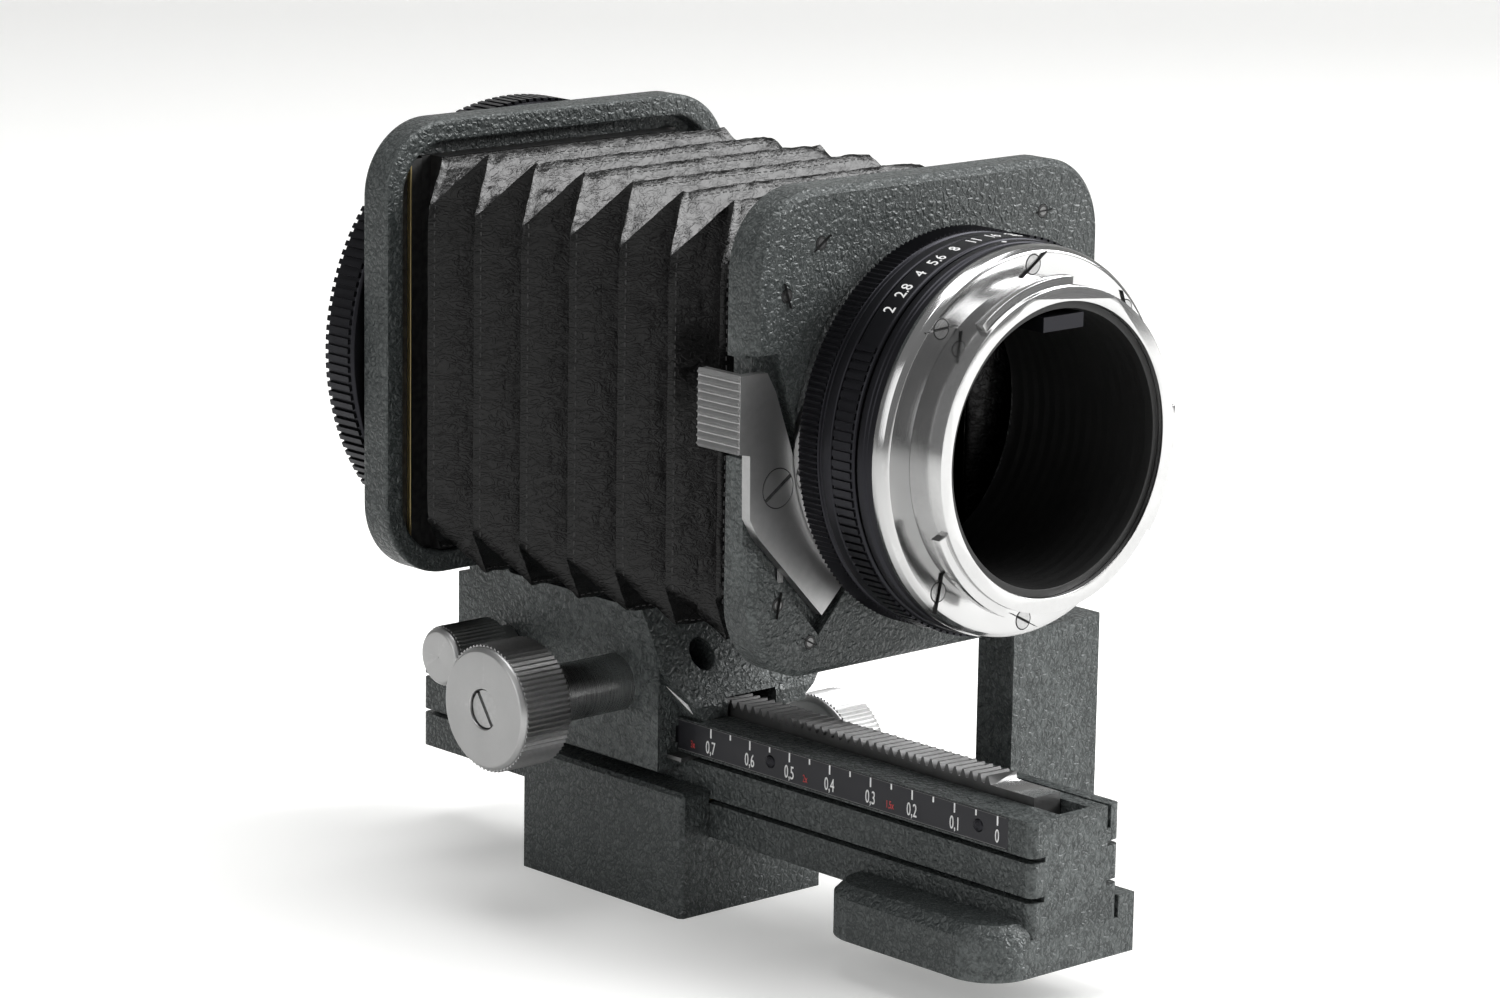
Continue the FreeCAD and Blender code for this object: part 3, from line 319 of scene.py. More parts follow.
class TurningPart(ShaderPart):
    """Fine lines left by a lathe about a centre line, with slow changes of tone."""

    name = "turning"
    inputs = (
        ("Centre", "NodeSocketVector", (0.0, 0.0, 0.0)),
        ("Across", "NodeSocketVector", (1.0, 0.0, 1.0)),
        ("Pitch", "NodeSocketFloat", 0.12),
    )
    outputs = (("Line", "NodeSocketFloat"), ("Cloud", "NodeSocketFloat"))

    def fill(self, sheet: NodeSheet, given: dict[str, bpy.types.NodeSocket]) -> dict[str, bpy.types.NodeSocket]:
        """Builds lines by radius and by distance along the axis."""
        place = sheet.millimetres()
        off = sheet.vector("SUBTRACT", place, given["Centre"])
        flat = sheet.vector("MULTIPLY", off, given["Across"])
        radius = sheet.add("ShaderNodeVectorMath", {0: flat}, operation="LENGTH").outputs["Value"]
        rest = sheet.vector("SUBTRACT", off, flat)
        dot = sheet.add("ShaderNodeVectorMath", {0: rest, 1: (1.0, 1.0, 1.0)}, operation="DOT_PRODUCT")
        along = dot.outputs["Value"]
        step = sheet.maths("DIVIDE", sheet.maths("ADD", radius, along), given["Pitch"])
        line = sheet.add("ShaderNodeTexNoise", {"W": step, "Scale": 1.0, "Detail": 2.0}, noise_dimensions="1D")
        return {"Line": line.outputs["Fac"], "Cloud": sheet.cloud(place, 0.07, 3.0)}


class GrainPart(ShaderPart):
    """A fine even grain with slow clouds, for painted, cast and blackened metal."""

    name = "grain"
    inputs = (("Size", "NodeSocketFloat", 0.3), ("Cloud Size", "NodeSocketFloat", 6.0))
    outputs = (("Grain", "NodeSocketFloat"), ("Cloud", "NodeSocketFloat"))

    def fill(self, sheet: NodeSheet, given: dict[str, bpy.types.NodeSocket]) -> dict[str, bpy.types.NodeSocket]:
        """Builds the two noises."""
        place = sheet.millimetres()
        made = {}
        for name, size, detail in (("Grain", "Size", 2.0), ("Cloud", "Cloud Size", 4.0)):
            scale = sheet.maths("DIVIDE", 1.0, given[size])
            made[name] = sheet.cloud(place, scale, detail)
        return made


class WearPart(ShaderPart):
    """Where an outer edge is rubbed: the rims of the mesh, broken up by noise."""

    name = "wear"
    inputs = (
        ("Low", "NodeSocketFloat", 0.53),
        ("High", "NodeSocketFloat", 0.6),
        ("Patch", "NodeSocketFloat", 1.2),
    )
    outputs = (("Mask", "NodeSocketFloat"),)

    def fill(self, sheet: NodeSheet, given: dict[str, bpy.types.NodeSocket]) -> dict[str, bpy.types.NodeSocket]:
        """Builds the mask from the mesh's own sharpness and a noise."""
        sharp = sheet.add("ShaderNodeNewGeometry").outputs["Pointiness"]
        place = sheet.millimetres()
        scale = sheet.maths("DIVIDE", 1.0, given["Patch"])
        patches = sheet.cloud(place, scale, 3.0)
        limits = {"Value": sharp, "From Min": given["Low"], "From Max": given["High"]}
        node = sheet.add("ShaderNodeMapRange", limits)
        mask = sheet.maths("MULTIPLY", node.outputs["Result"], sheet.ramp(patches, 0.35, 0.65))
        return {"Mask": mask}


class LeatherPart(ShaderPart):
    """Thin coated leather: pebbles, crossing creases and long folds."""

    name = "leather"
    inputs = (("Pebble", "NodeSocketFloat", 0.5), ("Crease", "NodeSocketFloat", 2.4))
    outputs = (("Tone", "NodeSocketFloat"), ("Rough", "NodeSocketFloat"), ("Height", "NodeSocketFloat"))

    def fill(self, sheet: NodeSheet, given: dict[str, bpy.types.NodeSocket]) -> dict[str, bpy.types.NodeSocket]:
        """Builds the pebbles and the creases."""
        place = sheet.millimetres()
        squeezed = sheet.vector("MULTIPLY", place, (1.0, 1.0, 1.9))
        fine = sheet.maths("DIVIDE", 1.0, given["Pebble"])
        wide = sheet.maths("DIVIDE", 1.0, given["Crease"])
        pebble = sheet.add(
            "ShaderNodeTexVoronoi", {"Vector": place, "Scale": fine}, feature="SMOOTH_F1"
        ).outputs["Distance"]
        crease = sheet.add(
            "ShaderNodeTexNoise", {"Vector": squeezed, "Scale": wide, "Detail": 5.0, "Distortion": 1.4}
        ).outputs["Fac"]
        folds = sheet.maths("ABSOLUTE", sheet.maths("SUBTRACT", crease, 0.5))
        low = sheet.maths("MULTIPLY", pebble, 0.35)
        height = sheet.maths("ADD", sheet.ramp(folds, 0.0, 0.12), low)
        tone = sheet.ramp(crease, 0.3, 0.75)
        rough = sheet.maths("MULTIPLY_ADD", pebble, 0.16, 0.13)
        return {"Tone": tone, "Rough": rough, "Height": height}


HAMMER, TURNING, GRAIN, WEAR, LEATHER = HammerPart(), TurningPart(), GrainPart(), WearPart(), LeatherPart()


@dataclass(frozen=True)
class Finish:
    """One surface finish: its colour, its shine and the record's slot that it belongs to."""

    name: str
    slot: str
    colour: Colour
    second: Colour
    metal: float = 0.0
    rough: float = 0.4
    relief: float = 0.05

    def material(self) -> bpy.types.Material:
        """Returns the finish's material, making it if there is none."""
        found = bpy.data.materials.get(self.name)
        if found:
            return found
        made = bpy.data.materials.new(self.name)
        made.use_nodes = True
        sheet = NodeSheet(made.node_tree)
        shader = sheet.add("ShaderNodeBsdfPrincipled", {"Metallic": self.metal, "Roughness": self.rough})
        self.paint(sheet, shader)
        sheet.add("ShaderNodeOutputMaterial", {"Surface": shader.outputs[0]})
        return made

    def paint(self, sheet: NodeSheet, shader: bpy.types.Node) -> None:
        """Fills the shader's colour, roughness and normal from a fine grain.

        Args:
            sheet: The material's sheet.
            shader: The Principled shader.
        """
        grain = GRAIN.place(sheet, {"Size": 0.25, "Cloud Size": 5.0})
        wear = WEAR.place(sheet, {})
        tone = sheet.ramp(grain.outputs["Cloud"], 0.3, 0.7)
        base = sheet.blend(sheet.maths("MULTIPLY", tone, 0.5), self.colour, self.second)
        worn = tuple(min(1.0, value * 1.6 + 0.03) for value in self.colour[:3]) + (1.0,)
        share = 0.1 if self.metal > 0.5 else 0.5
        colour = sheet.blend(sheet.maths("MULTIPLY", wear.outputs["Mask"], share), base, worn)
        rough = sheet.ramp(grain.outputs["Grain"], 0.2, 0.8, self.rough - 0.07, self.rough + 0.07)
        self.join(sheet, shader, colour, rough, grain.outputs["Grain"])

    def join(
        self, sheet: NodeSheet, shader: bpy.types.Node, colour: object, rough: object, height: object
    ) -> None:
        """Joins a colour, a roughness and a height to the shader.

        Args:
            sheet: The material's sheet.
            shader: The Principled shader.
            colour: The colour's socket.
            rough: The roughness socket.
            height: The socket of the relief.
        """
        bump = sheet.add("ShaderNodeBump", {"Strength": 1.0, "Distance": self.relief * MM, "Height": height})
        sheet.tree.links.new(colour, shader.inputs["Base Color"])
        sheet.tree.links.new(rough, shader.inputs["Roughness"])
        sheet.tree.links.new(bump.outputs["Normal"], shader.inputs["Normal"])


@dataclass(frozen=True)
class Enamel(Finish):
    """Hammered enamel on a casting."""

    cell: float = 1.35

    def paint(self, sheet: NodeSheet, shader: bpy.types.Node) -> None:
        """Fills the shader from the hammered group and rubs the edges."""
        hammer = HAMMER.place(sheet, {"Cell": self.cell})
        wear = WEAR.place(sheet, {"Low": 0.52, "High": 0.58})
        share = sheet.ramp(hammer.outputs["Tone"], 0.0, 1.0)
        base = sheet.blend(share, self.colour, self.second)
        rubbed = tuple(min(1.0, value * 1.5) for value in self.second[:3]) + (1.0,)
        colour = sheet.blend(sheet.maths("MULTIPLY", wear.outputs["Mask"], 0.5), base, rubbed)
        self.join(sheet, shader, colour, hammer.outputs["Rough"], hammer.outputs["Height"])


@dataclass(frozen=True)
class Turned(Finish):
    """Metal that was turned in a lathe."""

    centre: Point = (0.0, 0.0, 91.4)
    axis: Axis = Axis.Y
    pitch: float = 0.12

    def paint(self, sheet: NodeSheet, shader: bpy.types.Node) -> None:
        """Fills the shader from the turning group."""
        across = [1.0, 1.0, 1.0]
        across[self.axis.value] = 0.0
        values = {"Centre": self.centre, "Across": tuple(across), "Pitch": self.pitch}
        turning = TURNING.place(sheet, values)
        wear = WEAR.place(sheet, {"Low": 0.51, "High": 0.56, "Patch": 0.8})
        base = sheet.blend(sheet.ramp(turning.outputs["Cloud"], 0.3, 0.7), self.colour, self.second)
        worn = tuple(min(1.0, value * 1.8 + 0.05) for value in self.colour[:3]) + (1.0,)
        colour = sheet.blend(sheet.maths("MULTIPLY", wear.outputs["Mask"], 0.12), base, worn)
        rough = sheet.ramp(turning.outputs["Line"], 0.2, 0.8, self.rough - 0.08, self.rough + 0.08)
        self.join(sheet, shader, colour, rough, turning.outputs["Line"])


@dataclass(frozen=True)
class Hide(Finish):
    """The leather of the bellows."""

    def paint(self, sheet: NodeSheet, shader: bpy.types.Node) -> None:
        """Fills the shader from the leather group."""
        hide = LEATHER.place(sheet, {})
        shader.inputs["Specular IOR Level"].default_value = 0.3
        colour = sheet.blend(hide.outputs["Tone"], self.colour, self.second)
        self.join(sheet, shader, colour, hide.outputs["Rough"], hide.outputs["Height"])


def grey(value: float, warm: float = 0.0) -> Colour:
    """Returns a grey, a little warmer or colder than neutral.

    Args:
        value: Its lightness, linear.
        warm: Added to red and taken from blue.

    Returns:
        The colour.
    """
    return (value + warm, value, value - warm, 1.0)


ENAMEL_LOW: Colour = (0.028, 0.033, 0.033, 1.0)
ENAMEL_HIGH: Colour = (0.082, 0.091, 0.09, 1.0)
KNOB_CENTRE: Point = (0.0, -1.9, 37.8)
ENAMEL = Enamel("enamel_hammered", "enamel", ENAMEL_LOW, ENAMEL_HIGH, 0.2, 0.36, 0.14)
LEATHER_BLACK = Hide("leather_black", "leather", grey(0.002), grey(0.005), relief=0.02)
SATIN = Turned("chrome_satin", "satin_chrome", grey(0.42), grey(0.46), 1.0, 0.32, 0.012)
BRIGHT = Turned("chrome_bright", "bright_chrome", grey(0.5), grey(0.55), 1.0, 0.15, 0.004)
SIDE_SATIN = Turned(
    "chrome_side", "satin_chrome", grey(0.42), grey(0.52), 1.0, 0.28, 0.012, KNOB_CENTRE, Axis.X
)
BLACK = Finish("black_anodised", "black_anodised", grey(0.012), grey(0.022), 0.2, 0.38, 0.012)
SCALE = Finish("scale_black", "scale_black", grey(0.01), grey(0.016), 0.0, 0.45, 0.01)
STEEL = Finish("steel_dark", "dark_steel", grey(0.16), grey(0.24), 0.9, 0.38, 0.015)
BRASS = Finish("brass", "brass", (0.45, 0.28, 0.09, 1.0), (0.55, 0.36, 0.14, 1.0), 1.0, 0.3, 0.01)

WHITE = Finish("mark_white", "scale_black", grey(0.72), grey(0.8), 0.0, 0.5, 0.004)
RED = Finish("mark_red", "scale_black", (0.42, 0.03, 0.03, 1.0), (0.5, 0.04, 0.04, 1.0), 0.0, 0.5, 0.004)
DIM = Finish("mark_dim", "scale_black", grey(0.1), grey(0.13), 0.0, 0.5, 0.004)
THREAD = Finish("thread_dark", "leather", grey(0.03), grey(0.05), 0.0, 0.55, 0.01)
# Black of the inner lining and the bellows' rear frame; also painted shade: plain black discs behind screw
# heads stand in for their shaded holes and gaps.
LINING_AND_SHADE = Finish("black_lining_and_shade", "black_anodised", grey(0.006), grey(0.01), 0.0, 0.5, 0.01)
KNOB = Turned("knob_satin", "satin_chrome", grey(0.4), grey(0.44), 1.0, 0.36, 0.012, KNOB_CENTRE, Axis.X)
LEVER_SATIN = Finish("lever_satin", "satin_chrome", grey(0.42), grey(0.45), 1.0, 0.38, 0.005)

NODE_FINISHES: dict[str, Finish] = {
    "tripod_block": ENAMEL, "tripod_bush": BRASS, "block_gibs": BRASS, "clamp_shoe": BRASS,
    "clamp_screw": STEEL, "clamp_knob": SIDE_SATIN, "rail": ENAMEL, "front_foot": ENAMEL,
    "foot_screws": STEEL, "rack": STEEL, "rack_screws": STEEL, "scale_plate": SCALE,
    "scale_screws": STEEL, "front_standard": ENAMEL, "standard_screws": STEEL,
    "plate_set_screws": STEEL, "lever_spring": STEEL, "lever_pivot_screw": SATIN,
    "lens_seat_ring": BRIGHT, "bellows": LEATHER_BLACK, "release_lever": SATIN,
    "adapter_barrel": BLACK, "step_ring": BLACK, "adapter_flange": BRIGHT, "bayonet_rim": BRIGHT,
    "flange_screws": SATIN, "adapter_tube": BLACK, "aperture_cam": BLACK, "aperture_ring": BLACK,
    "carriage": ENAMEL, "carriage_gibs": STEEL, "lock_shoe": BRASS, "pinion_sleeve": SIDE_SATIN,
    "rear_frame": ENAMEL, "bellows_rear_frame": LINING_AND_SHADE, "ring_carrier": BLACK, "pinion": STEEL,
    "pinion_shaft": STEEL, "focus_knob": SIDE_SATIN, "focus_knob_screw": STEEL,
    "lock_knob": SIDE_SATIN, "lock_shaft": STEEL, "rear_ring": BLACK,
}


def node_body(node: str) -> str:
    """Returns the body that a node of the part rides on.

    Args:
        node: The node's name.

    Returns:
        The body's name.
    """
    return body_of(frame["nodes"][node])[0]


class Bench:
    """Makes, joins and finishes the meshes of pieces."""

    @staticmethod
    def piece(
        name: str, mesh: bmesh.types.BMesh, finishes: Sequence[Finish], body: str = "", smooth: float = 32.0,
        flat_over: float = 1e6,
    ) -> bpy.types.Object:
        """Turns a mesh into a piece.

        Args:
            name: The piece's name.
            mesh: Its mesh, in metres, freed here.
            finishes: Its materials in slot order.
            body: The body that it rides on, or nothing where it is bound otherwise.
            smooth: Edges sharper than this many degrees stay sharp.
            flat_over: Faces larger than this, in square mm, keep their own flat normal.

        Returns:
            The piece.
        """
        data = bpy.data.meshes.new(name)
        mesh.to_mesh(data)
        mesh.free()
        for finish in finishes:
            data.materials.append(finish.material())
        data.set_sharp_from_angle(angle=math.radians(smooth))
        for face in data.polygons:
            face.use_smooth = face.area < flat_over * MM * MM
        made = bpy.data.objects.new(name, data)
        bpy.context.scene.collection.objects.link(made)
        if body:
            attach(made, body)
        LOG.info("%s: %d faces on %s", name, len(data.polygons), body or "two bodies")
        return made

    @staticmethod
    def front_of(node: str) -> float:
        """Returns how far forward a node reaches, in mm along Y."""
        return min(vertex.co.y for vertex in frame["nodes"][node].data.vertices) / MM

    @staticmethod
    def copy_of(node: str) -> bmesh.types.BMesh:
        """Copies a node's mesh, with its loose triangles merged into flat faces.

        Args:
            node: The node's name.

        Returns:
            The copy.
        """
        copied = bmesh.new()
        copied.from_mesh(frame["nodes"][node].data)
        bmesh.ops.remove_doubles(copied, verts=copied.verts, dist=2e-6)
        bmesh.ops.dissolve_limit(
            copied, angle_limit=math.radians(1.0), verts=copied.verts, edges=copied.edges,
            use_dissolve_boundaries=False,
        )
        bmesh.ops.recalc_face_normals(copied, faces=copied.faces)
        return copied

    @staticmethod
    def ease(
        mesh: bmesh.types.BMesh, width: float, steps: int = 2, sharper: float = 32.0, longer: float = 1.0
    ) -> None:
        """Rounds the sharp edges of a mesh.

        Args:
            mesh: The mesh, changed in place.
            width: The rounding's width.
            steps: Its segments.
            sharper: Only edges sharper than this many degrees.
            longer: Only edges at least this long.
        """
        edges = [
            edge
            for edge in mesh.edges
            if len(edge.link_faces) == 2
            and edge.calc_face_angle(0.0) > math.radians(sharper)
            and edge.calc_length() > longer * MM
        ]
        bmesh.ops.bevel(
            mesh, geom=edges, offset=width * MM, segments=steps, profile=0.6, affect="EDGES", clamp_overlap=True
        )

    @staticmethod
    def soften(profile: Sequence[tuple[float, float]], radius: float) -> list[tuple[float, float]]:
        """Rounds the corners of a closed profile.

        Args:
            profile: Its corners in order.
            radius: How far from each corner the rounding starts.

        Returns:
            The points of the rounded profile.
        """
        made = []
        count = len(profile)
        for index, corner in enumerate(profile):
            here = Vector(corner)
            sides = [Vector(profile[index - 1]) - here, Vector(profile[(index + 1) % count]) - here]
            near, far = (here + side.normalized() * min(radius, side.length * 0.45) for side in sides)
            for share in (0.0, 0.3, 0.7, 1.0):
                made.append(tuple(near.lerp(here, share).lerp(here.lerp(far, share), share)))
        return made

    @staticmethod
    def turn(
        profile: Sequence[tuple[float, float]], centre: Point, axis: Axis = Axis.Y, steps: int = 144,
        radius: float = 0.2,
    ) -> bmesh.types.BMesh:
        """Turns a closed profile about an axis.

        Args:
            profile: Corners as (along the axis, radius), in order round the section.
            centre: A point on the axis; the profile's lengths along it count from there.
            axis: The turning axis.
            steps: Segments round the axis.
            radius: Rounding of the profile's corners.

        Returns:
            The turned mesh.
        """
        points = Bench.soften(profile, radius)
        first, second = [(1, 2), (0, 2), (0, 1)][axis.value]
        mesh = bmesh.new()
        rows = []
        for along, reach in points:
            row = []
            for step in range(steps):
                angle = 2.0 * math.pi * step / steps
                place = list(centre)
                place[axis.value] += along
                place[first] += max(reach, 0.0) * math.cos(angle)
                place[second] += max(reach, 0.0) * math.sin(angle)
                row.append(mesh.verts.new(Vector(place) * MM))
            rows.append(row)
        for index, row in enumerate(rows):
            following = rows[(index + 1) % len(rows)]
            for step in range(steps):
                after = (step + 1) % steps
                mesh.faces.new((row[step], row[after], following[after], following[step]))
        bmesh.ops.remove_doubles(mesh, verts=mesh.verts, dist=1e-7)
        bmesh.ops.recalc_face_normals(mesh, faces=mesh.faces)
        return mesh

    @staticmethod
    def block(low: Point, high: Point, width: float = 0.0) -> bmesh.types.BMesh:
        """Makes a block between two corners, with rounded edges.

        Args:
            low: Its lowest corner.
            high: Its highest corner.
            width: The rounding's width.

        Returns:
            The block.
        """
        mesh = bmesh.new()
        size = Vector(high) - Vector(low)
        middle = (Vector(high) + Vector(low)) / 2.0
        matrix = Matrix.Translation(middle * MM) @ Matrix.Diagonal((*(size * MM), 1.0))
        bmesh.ops.create_cube(mesh, size=1.0, matrix=matrix)
        if width:
            Bench.ease(mesh, width, 3, longer=0.0)
        return mesh

    @staticmethod
    def pressed(points: Sequence[Point], depth: Point) -> bmesh.types.BMesh:
        """Thickens a flat outline.

        Args:
            points: The outline's corners in order.
            depth: The direction and length of the thickness.

        Returns:
            The solid.
        """
        mesh = bmesh.new()
        face = mesh.faces.new([mesh.verts.new(Vector(point) * MM) for point in points])
        made = bmesh.ops.extrude_face_region(mesh, geom=[face])
        moved = [item for item in made["geom"] if isinstance(item, bmesh.types.BMVert)]
        bmesh.ops.translate(mesh, verts=moved, vec=Vector(depth) * MM)
        bmesh.ops.recalc_face_normals(mesh, faces=mesh.faces)
        return mesh

    @staticmethod
    def gather(mesh: bmesh.types.BMesh, other: bpy.types.Mesh, slot: int = 0) -> None:
        """Adds another mesh to a mesh and frees it.

        Args:
            mesh: The mesh that grows.
            other: The mesh that is added.
            slot: The material slot of the added faces.
        """
        before = set(mesh.faces)
        mesh.from_mesh(other)
        for face in mesh.faces:
            if face not in before:
                face.material_index = slot
        bpy.data.meshes.remove(other)


class Growth:
    """Geometry trees that grow what repeats, and the plain meshes that they leave."""

    trees: dict[str, bpy.types.NodeTree] = {}

    @classmethod
    def tree(cls, name: str, sockets: Sequence[tuple[str, str]], fill: Callable) -> bpy.types.NodeTree:
        """Returns a geometry tree, making it the first time.

        Args:
            name: The tree's name.
            sockets: Its inputs after the geometry, as (name, type).
            fill: Builds the inside from the sheet and the inputs' sockets, and returns a geometry socket.

        Returns:
            The tree.
        """
        if name in cls.trees:
            return cls.trees[name]
        tree = bpy.data.node_groups.new(name, "GeometryNodeTree")
        tree.interface.new_socket("Geometry", in_out="INPUT", socket_type="NodeSocketGeometry")
        tree.interface.new_socket("Geometry", in_out="OUTPUT", socket_type="NodeSocketGeometry")
        for label, kind in (*sockets, ("Material", "NodeSocketMaterial")):
            tree.interface.new_socket(label, in_out="INPUT", socket_type=kind)
        sheet = NodeSheet(tree)
        entry = sheet.add("NodeGroupInput")
        grown = fill(sheet, entry.outputs)
        real = sheet.add("GeometryNodeRealizeInstances", {0: grown})
        covered = {"Geometry": real.outputs[0], "Material": entry.outputs["Material"]}
        dressed = sheet.add("GeometryNodeSetMaterial", covered)
        sheet.add("NodeGroupOutput", {0: dressed.outputs[0]})
        cls.trees[name] = tree
        return tree

    @staticmethod
    def grow(tree: bpy.types.NodeTree, base: bpy.types.ID | None, values: dict[str, object]) -> bpy.types.Mesh:
        """Runs a tree on a mesh or curve and returns the plain mesh.

        Args:
            tree: The geometry tree.
            base: The mesh or curve that it starts from, or none.
            values: Its inputs by name.

        Returns:
            The grown mesh.
        """
        owner = bpy.data.objects.new("growing", base or bpy.data.meshes.new("seed"))
        bpy.context.scene.collection.objects.link(owner)
        modifier = owner.modifiers.new("growth", "NODES")
        modifier.node_group = tree
        for item in tree.interface.items_tree:
            if item.item_type == "SOCKET" and item.in_out == "INPUT" and item.name in values:
                modifier[item.identifier] = values[item.name]
        graph = bpy.context.evaluated_depsgraph_get()
        grown = bpy.data.meshes.new_from_object(owner.evaluated_get(graph))
        bpy.data.objects.remove(owner)
        return grown

    @classmethod
    def ribs(cls, finish: Finish, **values: object) -> bpy.types.Mesh:
        """Grows a ring of straight ribs about the Y axis, then turns and places it.

        Args:
            finish: The ribs' finish.
            values: The tree's inputs by name, with spaces as underscores.

        Returns:
            The ribs' mesh.
        """
        sockets = (
            ("Count", "NodeSocketInt"), ("Start", "NodeSocketFloat"), ("Step", "NodeSocketFloat"),
            ("Radius", "NodeSocketFloat"), ("Along", "NodeSocketFloat"), ("Size", "NodeSocketVector"),
            ("Lean", "NodeSocketFloat"), ("Facing", "NodeSocketVector"), ("Centre", "NodeSocketVector"),
        )

        def fill(sheet: NodeSheet, given: bpy.types.NodeOutputs) -> bpy.types.NodeSocket:
            """Places one rib at the radius and repeats it round the axis."""
            rib = sheet.add("GeometryNodeMeshCube", {"Size": given["Size"]})
            lean = sheet.add("ShaderNodeCombineXYZ", {"Y": given["Lean"]})
            reach = sheet.add("ShaderNodeCombineXYZ", {"X": given["Radius"], "Y": given["Along"]})
            placed = sheet.add(
                "GeometryNodeTransform",
                {"Geometry": rib.outputs[0], "Translation": reach.outputs[0], "Rotation": lean.outputs[0]},
            )
            line = sheet.add("GeometryNodeMeshLine", {"Count": given["Count"], "Offset": (0.0, 0.0, 0.0)})
            index = sheet.add("GeometryNodeInputIndex")
            angle = sheet.maths("MULTIPLY_ADD", index.outputs[0], given["Step"], given["Start"])
            turned = sheet.add("ShaderNodeCombineXYZ", {"Y": sheet.maths("MULTIPLY", angle, -1.0)})
            turn = sheet.add("FunctionNodeEulerToRotation", {0: turned.outputs[0]})
            many = sheet.add(
                "GeometryNodeInstanceOnPoints",
                {"Points": line.outputs[0], "Instance": placed.outputs[0], "Rotation": turn.outputs[0]},
            )
            moved = sheet.add(
                "GeometryNodeTransform",
                {"Geometry": many.outputs[0], "Translation": given["Centre"], "Rotation": given["Facing"]},
            )
            return moved.outputs[0]

        tree = cls.tree("ring_of_ribs", sockets, fill)
        return cls.grow(tree, None, {"Material": finish.material(), **values})

    @classmethod
    def row(cls, finish: Finish, **values: object) -> bpy.types.Mesh:
        """Grows a straight row of leaning bars, such as serrations or scale marks.

        Args:
            finish: The bars' finish.
            values: The tree's inputs by name.

        Returns:
            The bars' mesh.
        """
        sockets = (
            ("Count", "NodeSocketInt"), ("First", "NodeSocketVector"), ("Step", "NodeSocketVector"),
            ("Size", "NodeSocketVector"), ("Lean", "NodeSocketVector"),
        )

        def fill(sheet: NodeSheet, given: bpy.types.NodeOutputs) -> bpy.types.NodeSocket:
            """Repeats one bar along a line."""
            bar = sheet.add("GeometryNodeMeshCube", {"Size": given["Size"]})
            leant = {"Geometry": bar.outputs[0], "Rotation": given["Lean"]}
            leaning = sheet.add("GeometryNodeTransform", leant)
            line = sheet.add(
                "GeometryNodeMeshLine",
                {"Count": given["Count"], "Start Location": given["First"], "Offset": given["Step"]},
            )
            placed = {"Points": line.outputs[0], "Instance": leaning.outputs[0]}
            many = sheet.add("GeometryNodeInstanceOnPoints", placed)
            return many.outputs[0]

        tree = cls.tree("row_of_bars", sockets, fill)
        return cls.grow(tree, None, {"Material": finish.material(), **values})

    @classmethod
    def stitches(
        cls, finish: Finish, path: Sequence[Vector], length: float, gap: float, thick: float
    ) -> bpy.types.Mesh:
        """Grows a line of stitches along a path.

        Args:
            finish: The thread's finish.
            path: The path's points, metres.
            length: One stitch's length.
            gap: The space to the next.
            thick: The thread's thickness.

        Returns:
            The stitches' mesh.
        """
        sockets = (("Pitch", "NodeSocketFloat"), ("Length", "NodeSocketFloat"), ("Thick", "NodeSocketFloat"))

        def fill(sheet: NodeSheet, given: bpy.types.NodeOutputs) -> bpy.types.NodeSocket:
            """Lays one stitch at every pitch, turned along the path."""
            spread = sheet.add(
                "GeometryNodeCurveToPoints", {"Curve": given["Geometry"], "Length": given["Pitch"]},
                mode="LENGTH",
            )
            stitch = sheet.add(
                "GeometryNodeMeshCylinder",
                {"Vertices": 6, "Radius": given["Thick"], "Depth": given["Length"]},
            )
            many = sheet.add(
                "GeometryNodeInstanceOnPoints",
                {
                    "Points": spread.outputs["Points"],
                    "Instance": stitch.outputs[0],
                    "Rotation": spread.outputs["Rotation"],
                },
            )
            return many.outputs[0]

        curve = bpy.data.curves.new("seam", "CURVE")
        curve.dimensions = "3D"
        spline = curve.splines.new("POLY")
        spline.points.add(len(path) - 1)
        for point, place in zip(spline.points, path):
            point.co = (*place, 1.0)
        tree = cls.tree("stitches_on_path", sockets, fill)
        values = {"Pitch": (length + gap) * MM, "Length": length * MM, "Thick": thick * MM}
        return cls.grow(tree, curve, {"Material": finish.material(), **values})

    @classmethod
    def screws(
        cls, finish: Finish, places: Sequence[Point], facing: Point, radius: float, depth: float, slot: float
    ) -> bpy.types.Mesh:
        """Grows slotted screw heads at several places.

        Args:
            finish: Their finish.
            places: Centres of their outer faces.
            facing: Turn from upright that faces them outwards, radians.
            radius: Head radius.
            depth: Head depth.
            slot: Slot width, or nothing for a plain head.

        Returns:
            The heads' mesh.
        """
        sockets = (
            ("Facing", "NodeSocketVector"), ("Radius", "NodeSocketFloat"), ("Depth", "NodeSocketFloat"),
            ("Slot", "NodeSocketFloat"),
        )

